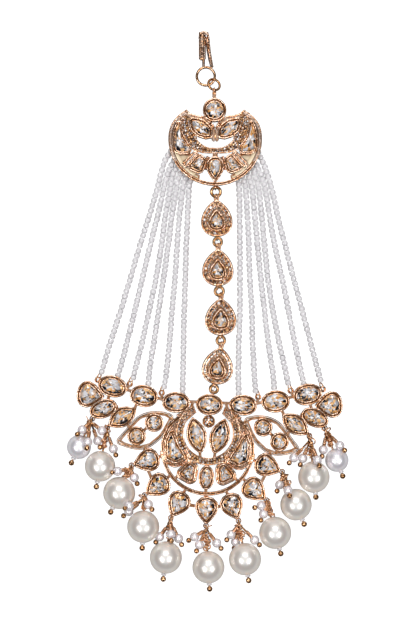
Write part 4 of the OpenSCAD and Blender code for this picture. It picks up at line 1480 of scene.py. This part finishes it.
@dataclass
class Links:
    """Edges, inner bezels and pave of the four pear links."""

    # Centre and lean of each link
    places: tuple = (((2.8, 28.3), 1), ((3.15, 13.0), -1), ((4.0, -2.3), -1), ((3.15, -17.5), -9))
    length: float = 11.3  # round end to tip
    width: float = 9.5  # widest
    plate: float = 1.0  # height of the link's plate
    # Share of the outline, points, height over the plate, half sizes and sides of each moulding
    lines: tuple = (
        (0.96, 60, 0.5, (0.36, 0.34), 10), (0.90, 60, 0.3, (0.14, 0.2), 8), (0.73, 48, 0.15, (0.16, 0.2), 8),
    )
    channel: tuple = (0.83, 60, 0.3, (0.42, 0.14), 8)  # the same of the last link's smooth channel
    seats: tuple = (0.83, 18)  # share of the outline on which the small stones sit, and their number
    pits: tuple = (0.845, 21)  # share of the outline of the painted shade dots in the last link's pits, and their number
    grain_rows: tuple = (0.93, 1.06)  # sizes of the grains' two rows, as shares of the stones' row
    inner: tuple = (0.625, 26)  # share of the outline of the fine inner row, and its number of stones
    inner_grains: float = 1.09  # size of its row of grains, as a share of it
    neck: tuple = ((0.0, 6.55), 1.3)  # how far the loop at the tip is from the middle, and its height

    def outline(self, share: float, count: int, offset: float = 0.0) -> Array:
        """Returns even points of the link's edge, tip up.

        At angle t the point is (half length times cosine t, half width times sine t
        times the root of sine t/2, over 0.862), turned so that the tip is up.

        Args:
            share: size of the outline.
            count: how many points to give.
            offset: shift along the edge, as a share of one step.

        Returns:
            The points.
        """
        t = np.linspace(0, 2 * np.pi, 120, endpoint=False)
        y = self.width / 2 * np.sin(t) * np.sqrt(np.abs(np.sin(t / 2))) / 0.862
        edge = (turned(np.stack([self.length / 2 * np.cos(t), y], axis=1), 90) + [0, 0.12]) * share
        return even(edge, count, True, offset)

    def line(self, share: float, count: int, up: float, half: tuple, sides: int) -> Surface:
        """Returns a moulding at a share of the outline, up from the plate."""
        return band(self.outline(share, count), self.plate + up, half, sides=sides)

    def laid(self, points: Array, up: float) -> Array:
        """Returns points of one link's plan on every link, up from the plate."""
        flat = [turned(points, lean) + place for place, lean in self.places]
        return raised(np.vstack(flat), self.plate + up)

    def build(self, shop: Workshop) -> None:
        """Builds the looks of all the links.

        Args:
            shop: makes the pieces.
        """
        whole = joined(self.line(*line) for line in self.lines)
        edges = joined(whole.placed([*place, 0.0], lean) for place, lean in self.places)
        shop.piece("link_edges", edges, finish="link_cast")
        grains = self.outline(*self.seats)
        grains = self.laid(np.vstack([grains * share for share in self.grain_rows]), 0.2)
        stones = self.laid(self.outline(*self.seats, 0.5), 0.25)
        PaveField("links", stones, 0.5, grains, 0.2, replaces=["link_pave"]).build(shop)
        place, lean = self.places[-1]
        # Dark dots of painted shade where the last link's pits are.
        pits = raised(turned(self.outline(*self.pits), lean) + place, self.plate + 0.36)
        shop.piece("link_pit_shades", scattered(ball(), pits, UP, (0.26, 0.26, 0.14)), finish="wash")
        channel = self.line(*self.channel).placed([*place, 0.0], lean)
        shop.piece("link_channel", channel, finish="bright_plate")
        row = self.outline(*self.inner)
        grains = self.laid(row * self.inner_grains, 0.12)
        PaveField("links_inner", self.laid(row, 0.12), 0.3, grains, 0.14).build(shop)
        flat, z = self.neck
        necks = [
            oval_ring((0.62, 1.05), (0.45, 0.0), turned(flat, lean) + place, z, lean, 0.26)
            for place, lean in self.places
        ]
        shop.piece("link_necks", joined(necks), finish="wrap")


# Strands


@dataclass
class BeadStrands:
    """Twelve strands of seed beads on their threads."""

    bead_r: float = 0.94  # radius of a bead
    pitch: float = 1.6  # distance between beads
    lift: float = 0.84  # height of the thread above the table
    squareness: float = 0.45  # 1 for round beads, less for fuller sides
    # How far each strand's last bead reaches past its route, left to right
    tails: tuple = (0.2, 0.5, 0.2, 1.0, 0.4, 1.9, 0.9, 0.3, 0.7, 0.5, 1.6, 0.5)
    # How far up the straight run of every strand is given
    levels: tuple = (37.2, 27.9, 18.6, 9.3, 0.0, -9.3)
    # For each strand its bend under the crescent, straight run and end
    routes: tuple = (
        (((-11.0, 50.0), (-13.1, 46.8), (-14.5, 42.5)), (-15.8, -18.6, -21.5, -24.2, -27, -30),
         ((-32.6, -18.0), (-33.0, -19.7))),
        (((-10.1, 47.1), (-11.75, 44.1), (-12.95, 40.6)), (-13.75, -15.9, -18.2, -20.4, -22.6, -24.9),
         ((-27.2, -18.2), (-27.9, -20.6))),
        (((-8.7, 45.7), (-10.25, 43.2), (-11.25, 40.4)), (-11.7, -13.4, -14.6, -16.2, -18.2, -20.2),
         ((-22.6, -18.8), (-23.3, -21.6))),
        (((-7.1, 44.3), (-8.4, 42.5), (-9.35, 40.2)), (-9.8, -11.3, -12.45, -13.8, -15.2, -16.6),
         ((-18.1, -18.6), (-18.4, -22.5))),
        (((-5.5, 43.1), (-6.6, 41.5), (-7.45, 39.8)), (-7.85, -8.9, -9.6, -10.2, -11.1, -11.8),
         ((-13.0, -20.4), (-13.7, -24.3))),
        (((-4.0, 42.0), (-4.95, 40.7), (-5.6, 39.4)), (-5.85, -6.3, -6.7, -7, -7.3, -7.5),
         ((-7.7, -20.4), (-7.8, -25.0))),
        (((7.8, 42.5), (8.8, 41.2), (9.5, 39.6)), (9.8, 9.9, 10, 10, 10, 9.7), ((9.5, -20.4), (9.6, -26.0))),
        (((9.3, 43.5), (10.5, 42), (11.3, 40)), (11.8, 12.4, 12.8, 13.1, 13.7, 13.9),
         ((14.5, -20.4), (14.9, -25.6))),
        (((10.85, 44.7), (12.2, 42.8), (13.15, 40.3)), (13.85, 14.7, 15.6, 16.5, 17.6, 18.7),
         ((20.3, -20.4), (20.6, -24.1))),
        (((12.4, 45.9), (14, 43.4), (15.1, 40.4)), (15.9, 16.9, 17.8, 18.8, 20.2, 22),
         ((24.3, -19.8), (25.0, -22.9))),
        (((13.9, 47.1), (15.7, 44), (17, 40.7)), (17.95, 19.4, 21.1, 23.2, 25, 26.8),
         ((29.0, -19.4), (29.6, -22.2))),
        (((15.4, 49.6), (16.9, 46.4), (18.3, 42.8)), (20, 22, 24.4, 26.8, 29.3, 31.7),
         ((34.5, -19.8), (35.1, -22.0))),
    )

    def bead(self) -> Surface:
        """A seed bead of radius 1 and length 2 along Z.

        At elevation e the radius is cos e raised to the squareness and the height is
        sin e, so the sides are full and the ends are dimpled flat.

        Returns:
            The closed bead.
        """
        part = ball(5, 10, -90.0)
        flat = np.hypot(part.points[:, 0], part.points[:, 1])
        grow = np.where(flat > 1e-6, np.maximum(flat, 1e-6) ** (self.squareness - 1), 1.0)
        part.points = part.points * np.stack([grow, grow, np.ones_like(grow)], axis=1)
        part.points[-2:, 2] *= 0.86
        return part

    def strand(self, route: Sequence[Sequence[float]], tail: float, seed: int) -> Surface:
        """Threads one strand.

        Args:
            route: flat points from the crescent down to the panel.
            tail: length past the route's end.
            seed: number of the strand, for its beads' small differences.

        Returns:
            The beads and their thread.
        """
        flat = smooth(route, 10)
        end = flat[-1] + tail * unit(flat[-1:] - flat[-2:-1])[0]
        path = raised(np.vstack([flat, end]), self.lift)
        count = int(length_of(path) / self.pitch)
        dense = even(path, 2 * count + 1)
        at, way = dense[1::2], along(dense, False)[1::2]
        rng = np.random.default_rng(seed)
        way = way + 0.05 * rng.standard_normal(way.shape)
        radius = self.bead_r * (1 + 0.035 * rng.standard_normal((count, 1)))
        at = at + np.column_stack([0.03 * rng.standard_normal((count, 2)), radius - self.lift])
        size = np.column_stack([radius, radius, np.full(count, 0.515 * self.pitch)])
        return joined([scattered(self.bead(), at, way, size), tube(even(path, 60), 0.16, 6)])

    def build(self, shop: Workshop) -> None:
        """Threads every strand.

        Args:
            shop: makes the pieces.
        """
        for k, (bend, run, end) in enumerate(self.routes):
            side, number = ("left", k) if k < 6 else ("right", k - 6)
            name = f"{side}_{number + 1}"
            beads = self.strand([*bend, *zip(run, self.levels), *end], self.tails[k], number)
            shop.piece("seed_beads_" + name, beads, "seed_bead", None, ["bead_strand_" + name])


@dataclass
class StrandRings:
    """Slim oval rings that tie the strands to the panel's loops."""

    loops: tuple = ((35.0, 6.2), (25.0, 5.3), (15.0, 2.9))  # places of the panel's loops on its right half
    half: tuple = (1.35, 0.5)  # half length and half width of a ring, seen from above
    rise: float = 0.5  # how far a ring leans out of the table's plane
    wire: float = 0.19  # radius of the wire
    lift: float = 1.0  # height of the ring's middle

    def build(self, shop: Workshop) -> None:
        """Hangs the rings.

        Args:
            shop: makes the pieces.
        """
        parts = []
        for k, (x, y) in enumerate(self.loops):
            for side in (-1, 1):
                lean = 90 + side * (24 - 8 * k)
                at = panel_place((side * x, y)) + polar(0.75, lean)
                parts.append(oval_ring(self.half, (0.0, self.rise), at, self.lift, lean, self.wire))
        shop.piece("strand_rings", joined(parts), Metal.WIRE.value)


@dataclass
class WireJackets:
    """Plating over the thin rings and nacre over the small pearls, as thick as they look."""

    # The CAD nodes with thin rings and the thickness of their plating
    rings: tuple = (
        ("chain_rings", 0.24), ("jump_ring", 0.13), ("drop_rings_left", 0.13), ("drop_rings_right", 0.13),
    )
    # The nodes with the small pearls and the thickness of their nacre
    pearls: tuple = (("cluster_pearls_left", 0.12), ("cluster_pearls_right", 0.12))

    def build(self, shop: Workshop) -> None:
        """Moves every corner out along its normal, but not into the table.

        A corner's normal is the sum of the cross products of the edges of the
        triangles that meet there, at unit length.

        Args:
            shop: makes the pieces.
        """
        for layers, slot in ((self.rings, Metal.WIRE.value), (self.pearls, "small_pearl")):
            for node, thick in layers:
                points, tris = merged_mesh(node)
                a, b, c = (points[tris[:, k]] for k in range(3))
                normal = np.zeros_like(points)
                for k in range(3):
                    np.add.at(normal, tris[:, k], np.cross(b - a, c - a))
                points = points + thick * unit(normal)
                points[:, 2] = np.maximum(points[:, 2], 0.01)
                shop.piece("jacket_" + node, Surface(points, tris), slot)


# Drops


@dataclass
class Drops:
    """Wraps, rings, wire tails and glass washers of the pearl drops."""

    # Centre and radius, left to right
    pearls: tuple = (
        ((-39.8, -42.3), 3.7), ((-33.2, -48.2), 4.7), ((-27.3, -56.4), 4.95), ((-19.9, -66.8), 4.95),
        ((-12.9, -76.3), 4.95), ((0.2, -79.3), 4.95), ((11.5, -76.8), 4.95), ((20.8, -68.7), 4.95),
        ((27.2, -60.0), 4.85), ((32.7, -51.5), 4.85), ((39.9, -46.4), 3.6),
    )
    hang: tuple = ((36.1, -5.9), (31.4, -8.6))  # where the outer two drops hang, right half of the panel
    # Tip and direction of the fringe settings that the next drops hang from
    fringe: tuple = (((22.9, -19.7), -20), ((18.5, -28.6), -39), ((10.3, -35.2), -65))
    centre_tip: tuple = ((0.5, -37.1), -90)  # tip of the middle setting
    # Small pearls: centre, height and the drop they belong to
    cluster: tuple = (
        ((-38.7, -36.9), 5.6, 0), ((-32.6, -37.2), 5.0, 0), ((-36.8, -40.5), 7.6, 0),
        ((-34.0, -40.4), 3.6, 0), ((-29.2, -42.9), 3.2, 1), ((-27.7, -49.5), 7.3, 2),
        ((-22.7, -51.8), 3.4, 2), ((-24.0, -60.0), 9.1, 3), ((-24.4, -62.3), 3.4, 3),
        ((-18.3, -59.9), 5.0, 3), ((-11.3, -69.0), 5.8, 4), ((-9.0, -70.6), 3.6, 4),
        ((-14.9, -70.2), 2.6, 4), ((-4.1, -70.1), 3.4, 5), ((-2.6, -72.5), 3.8, 5), ((2.8, -72.0), 3.5, 5),
        ((7.2, -69.4), 3.4, 6), ((8.6, -71.9), 1.95, 6), ((14.5, -71.1), 3.4, 6), ((16.5, -60.4), 4.2, 7),
        ((17.2, -63.0), 3.6, 7), ((22.2, -54.0), 3.6, 8), ((24.6, -55.3), 8.3, 8), ((26.6, -45.7), 3.4, 9),
        ((29.4, -45.9), 3.0, 9), ((33.6, -46.0), 8.0, 9), ((35.7, -43.2), 3.2, 10), ((40.7, -41.7), 5.6, 10),
    )
    # Drop, direction and length of the loose wire ends
    tails: tuple = ((0, 125, 2.2), (5, 35, 2.3), (9, 115, 2.0), (10, 150, 1.8), (2, 160, 1.8), (7, 60, 1.8))
    eye_step: float = 0.5  # how far an eye is past its tip
    eye_z: float = 1.5  # height of the eyes
    loop_z: float = 2.6  # height of the loops on the large pins
    reach: float = 1.8  # distance from eye to loop
    eye_r: float = 0.72  # radius of a loop
    hub_rise: float = 0.75  # height of a hub over its ring
    pin_r: float = 0.3  # radius of a large pin
    small_pin_r: float = 0.18  # radius of a small pin
    small_r: float = 1.3  # radius of a small pearl
    wire: float = 0.22  # radius of the wraps' wire
    coil_turns: float = 4.5  # turns of a wrap
    small_coil: float = 2.2  # greatest length of the wrap on a small pin
    washer: tuple = (0.86, 0.86, 0.42)  # half sizes of a glass washer
    washer_up: float = 0.3  # how far over the pearl its middle is
    hub_count: int = 10  # small rings between a hub and its pearl

    def loop_and_hub(self, i: int) -> tuple[Array, Array]:
        """Works out where drop i hangs.

        Args:
            i: number of the drop.

        Returns:
            The middle of the loop at the top of its pin, and the point above the ring
            where the small pins meet.
        """
        k, side = min(i, 10 - i), -1 if i < 5 else 1
        if k < 2:
            flat = np.array(self.hang[k])
        else:
            tip, way = (*self.fringe, self.centre_tip)[k - 2]
            flat = tip + polar(self.eye_step, way)
        flat = panel_place(flat * [side, 1])
        to = np.array(self.pearls[i][0]) - flat
        eye = np.array([*flat, self.eye_z])
        loop = np.array([*(flat + self.reach * to / np.linalg.norm(to)), self.loop_z])
        return loop, (eye + loop) / 2 + [0, 0, np.linalg.norm(loop - eye) / 2 + self.hub_rise]

    def coil(self, a: Array, way: Array, length: float, radius: float) -> Surface:
        """A wire wound round a pin.

        The wire's middle is a plus share times length along the way plus the radius
        times (cosine, sine) of the turning angle across it.

        Args:
            a: where the coil starts.
            way: direction of the pin.
            length: length of the coil.
            radius: radius of the wire's middle line.

        Returns:
            The coil.
        """
        t = np.linspace(0, 1, 55)
        local = raised(polar(radius, 360 * self.coil_turns * t), length * t)
        path = a + local @ frames_on(way[None], 1.0)[0].T
        return tube(path, self.wire, 6, ref=way + [0.01, 0.02, 0.0])

    def build(self, shop: Workshop) -> None:
        """Dresses every drop.

        Args:
            shop: makes the pieces.
        """
        hubs, wires, glass = [], [], []
        for i, (flat, r) in enumerate(self.pearls):
            pearl = np.array([*flat, r])
            loop, hub = self.loop_and_hub(i)
            hubs.append(hub)
            way = unit(pearl - loop)
            free = np.linalg.norm(pearl - loop) - r - self.eye_r
            wires.append(self.coil(loop + (self.eye_r - 0.1) * way, way, 0.8 * free, self.pin_r + 0.28))
            at = (pearl + (r + self.washer_up) * way)[None]
            glass.append(scattered(ball(6, 14, -90.0), at, way, self.washer))
            wires += self.hub_rings(i, hub, pearl - r * way)
        for flat, z, i in self.cluster:
            to = np.array([*flat, z]) - hubs[i]
            span, way = np.linalg.norm(to) - self.small_r, unit(to)
            long = min(0.6 * span, self.small_coil)
            wires.append(self.coil(hubs[i] + (span - long - 0.1) * way, way, long, self.small_pin_r + 0.26))
        for i, turn, length in self.tails:
            bend = np.array([[0, 0, 0], [0.5, 0.12, 0.1], [1.0, 0.02, 0.15]]) * length
            path = smooth(raised(turned(bend[:, :2], turn), bend[:, 2]), 5) + hubs[i]
            wires.append(tube(path, 0.17, 6))
        shop.piece("drop_wraps", joined(wires), Metal.WIRE.value, "wrap")
        shop.piece("pearl_washers", joined(glass), "seed_bead")

    def hub_rings(self, i: int, hub: Array, top: Array) -> list[Surface]:
        """Links small rings from a hub down to the top of its pearl.

        Args:
            i: number of the drop.
            hub: where the small pins meet.
            top: top of the pearl.

        Returns:
            The rings, each leaning its own way.
        """
        rng = np.random.default_rng(40 + i)
        circle, rings = raised(ellipse(1, 1, 18), 0.0), []
        for k in range(self.hub_count):
            axis = rng.standard_normal(3) * [1, 1, 0.6]
            radius = 0.6 + 0.35 * rng.random()
            middle = hub + (0.1 * k - 0.1) * (top - hub) + [0.42, 0.42, 0.2] * rng.standard_normal(3)
            path = circle @ frames_on(axis[None], radius)[0].T + middle
            rings.append(tube(path, self.wire, 6, closed=True, ref=axis))
        return rings


@dataclass
class HairHook:
    """Round ends, crimp bands and slot and seam lines in painted shade, and second wire of the folded hair
    hook.
    """

    sleeve_x: tuple = (-2.3, -1.1)  # the two straight wires
    sleeve_y: tuple = (77.9, 86.2)  # their lower and upper ends
    middle_z: float = 1.25  # height of their middle
    crimps: tuple = (84.3, 84.66)  # where the painted shade bands across them are
    # The rounded upper end
    top: tuple = ((-2.3, 85.2), (-2.05, 85.9), (-1.4, 86.2), (-0.75, 86.2), (-0.25, 85.8), (0.05, 85.0))
    ring: tuple = ((-0.6, 72.5), 2.8)  # middle and radius of the soldered ring
    bail: tuple = (2.0, 66.9, 1.85)  # middle of the wrapped stem under the small ring
    # The wire that goes down to the ring
    spring: tuple = ((-0.2, 86.0), (0.2, 84.6), (0.5, 80.6), (0.95, 77.6), (1.3, 75.6))

    def build(self, shop: Workshop) -> None:
        """Dresses the hook.

        Args:
            shop: makes the pieces.
        """
        hook, (x0, x1), (y0, y1) = Metal.HOOK.value, self.sleeve_x, self.sleeve_y
        middle, z = (x0 + x1) / 2, self.middle_z + 0.14
        fold = [(x0, y1 - 0.9), (x0, y0 + 0.6), (middle, y0 + 0.12), (x1, y0 + 0.6), (x1, y1 - 0.9)]
        tongue = np.array([(middle, 84.2), (middle, 83.0), (middle, 82.0)])
        parts = [tube(raised(smooth(fold, 8), z), 0.44, 10), tube(raised(smooth(self.top, 6), z), 0.36, 10)]
        shop.piece("hook_fold", joined([*parts, tube(raised(tongue, z + 0.16), 0.3)]), hook)
        wrap = [(x0 - 0.52, 0), (x0 - 0.35, 0.62), (x1 + 0.35, 0.62), (x1 + 0.52, 0)]
        # Crimp bands, a U line along the slot and a seam line, all in near-black painted shade.
        shade_lines = []
        for y in self.crimps:
            arc = smooth([(x, y, up + self.middle_z) for x, up in wrap], 6)
            shade_lines.append(tube(arc, 0.1, 6, ref=(0, 1, 0)))
        slot = [(x0 + 0.3, 84.4), (x0 + 0.3, 82.0), (middle, 81.1), (x1 - 0.3, 82.0), (x1 - 0.3, 84.4)]
        shade_lines.append(tube(raised(smooth(slot, 6), z + 0.42), 0.1, 6))
        seam = np.array([(middle, y, self.middle_z + 0.32) for y in np.linspace(y0 + 0.9, 80.9, 6)])
        shade_lines.append(tube(seam, 0.1, 6, ref=(1, 0, 0)))
        shop.piece("hook_shade_lines", joined(shade_lines), hook, "wash")
        rise = self.middle_z + 0.3 + np.linspace(0, 0.55, len(self.spring))
        second = smooth(raised(np.array(self.spring) + [0.12, 0], rise), 6)
        shop.piece("hook_spring", tube(second, 0.24), hook)
        at, r = self.ring
        hoop = raised(ellipse(r, r, 48) + at, self.middle_z)
        shop.piece("hook_ring", tube(hoop, 0.43, closed=True), hook, Metal.WIRE.value)
        t = np.linspace(0, 1, 49)
        across = polar(0.55, 360 * 4 * t)
        coil = np.column_stack([across[:, 0], 1.9 * (t - 0.5), across[:, 1]]) + self.bail
        shop.piece("bail_wrap", tube(coil, 0.17, 6, ref=(0.01, 1, 0.02)), finish="wrap")


# Studio


@dataclass
class Softbox:
    """One soft light."""

    name: str  # its name
    off_axis: float  # degrees from straight above
    round_to: float  # degrees round from +X
    size: tuple  # width and length in metres
    power: float  # watts
    distance: float = 0.7  # metres from the middle of the piece
    colour: Colour = WHITE  # tint
    mirrored: bool = True  # whether shiny surfaces show it

    def build(self) -> None:
        """Hangs the light, turned towards the piece."""
        data = bpy.data.lights.new(self.name, "AREA")
        data.shape = "RECTANGLE"
        data.size, data.size_y = self.size
        data.energy, data.color = self.power, self.colour
        thing = put_in_scene(self.name, data)
        t, p = math.radians(self.off_axis), math.radians(self.round_to)
        way = (math.sin(t) * math.cos(p), math.sin(t) * math.sin(p), math.cos(t))
        thing.location = [self.distance * v for v in way]
        thing.rotation_euler = (0.0, t, p)
        thing.visible_glossy = self.mirrored


@dataclass
class Studio:
    """White table, soft lights and the camera straight above."""

    middle: tuple = (0.08, -0.62)  # the point under the middle of the photograph, in millimetres
    view_height: float = 0.1934  # height of the photograph on the table, in metres
    lens: float = 100.0  # focal length in millimetres
    sensor: float = 36.0  # sensor width in millimetres, along the photograph's long side
    # (sine of the elevation, brightness) of the room
    world: tuple = ((0.0, 0.3), (0.12, 0.35), (0.24, 0.07), (0.74, 0.09), (0.9, 0.6), (0.98, 1.3), (1.0, 1.4))
    world_strength: float = 0.4  # brightness of all of it
    table: float = 1.5  # half side of the table, in metres
    # The soft lights
    lights: tuple = (
        Softbox("left_box", 30, 205, (0.16, 0.34), 1.5),
        Softbox("right_box", 30, -25, (0.16, 0.34), 1.5),
        Softbox("top_box", 34, 90, (0.26, 0.34), 1.9),
        Softbox("far_box", 68, 90, (0.5, 0.9), 1.2),
        Softbox("near_fill", 72, -90, (0.5, 0.9), 0.9, colour=(1.0, 0.94, 0.95), mirrored=False),
    )

    def build(self, shop: Workshop) -> None:
        """Sets the studio.

        Args:
            shop: has the table's material.
        """
        for light in self.lights:
            light.build()
        self._world()
        mesh = bpy.data.meshes.new("table")
        corners = raised(self.table * np.array([(-1, -1), (1, -1), (1, 1), (-1, 1)]), 0.0)
        mesh.from_pydata(corners.tolist(), [], [(0, 1, 2, 3)])
        mesh.materials.append(shop.finishes["floor"])
        put_in_scene("table", mesh)
        data = bpy.data.cameras.new("camera")
        data.lens, data.sensor_width = self.lens, self.sensor
        camera = put_in_scene("camera", data)
        height = self.view_height * self.lens / self.sensor + 0.002
        camera.location = (self.middle[0] * MM, self.middle[1] * MM, height)
        bpy.context.scene.camera = camera

    def _world(self) -> None:
        """Lights the room: pale overhead and at the horizon, darker in between."""
        world = bpy.data.worlds.new("studio room")
        world.use_nodes = True
        tree = NodeTree(world.node_tree)
        way = tree.add("SeparateXYZ", {0: tree.add("TexCoord").outputs["Generated"]})
        colour = tree.ramp(way.outputs[2], [(rise, (level,) * 3) for rise, level in self.world])
        tree.feed(tree.tree.nodes["Background"], {"Color": colour, "Strength": self.world_strength})
        bpy.context.scene.world = world


def stone_groups() -> list[StoneGroup]:
    """The stones of the wide panel, the upper crescent and the links.

    Returns:
        One group for each.
    """
    row = ["row_stone_centre", "row_stones_left", "row_stones_right", "leaf_stones"]
    pointed = ["flank_stones_left", "flank_stones_right", "petal_stones"]
    pointed += ["fringe_stones_left", "fringe_stone_centre", "fringe_stones_right", "crescent_stones"]
    upper = {"upper_round": 3, "upper_drop": 12, "upper_leaf_stones": 12, "upper_wedge_stones": 14}
    upper |= {"upper_fan_stones": 18, "upper_baguettes": 24}
    return [
        StoneGroup("panel", dict.fromkeys(row, 3) | dict.fromkeys(pointed, 14)),
        StoneGroup("upper", upper, UPPER_LIFT),
        StoneGroup("links", {"link_stones": 12}),
    ]


def main() -> None:
    """Builds and dresses the headpiece, then the studio."""
    logging.basicConfig(level=logging.INFO, format="%(name)s %(message)s")
    shop = Workshop(Finishes())
    shop.finishes.dress_frame()
    kinds = (UpperCrescent, LowerPanel, Links, BeadStrands, StrandRings, WireJackets, Drops, HairHook, Studio)
    for part in (*stone_groups(), *(kind() for kind in kinds)):
        part.build(shop)
        log.info("%s done", type(part).__name__)
    bpy.context.scene.view_settings.view_transform = "Standard"
    log.info("%d pieces", shop.count)


if __name__ == "__main__":
    main()
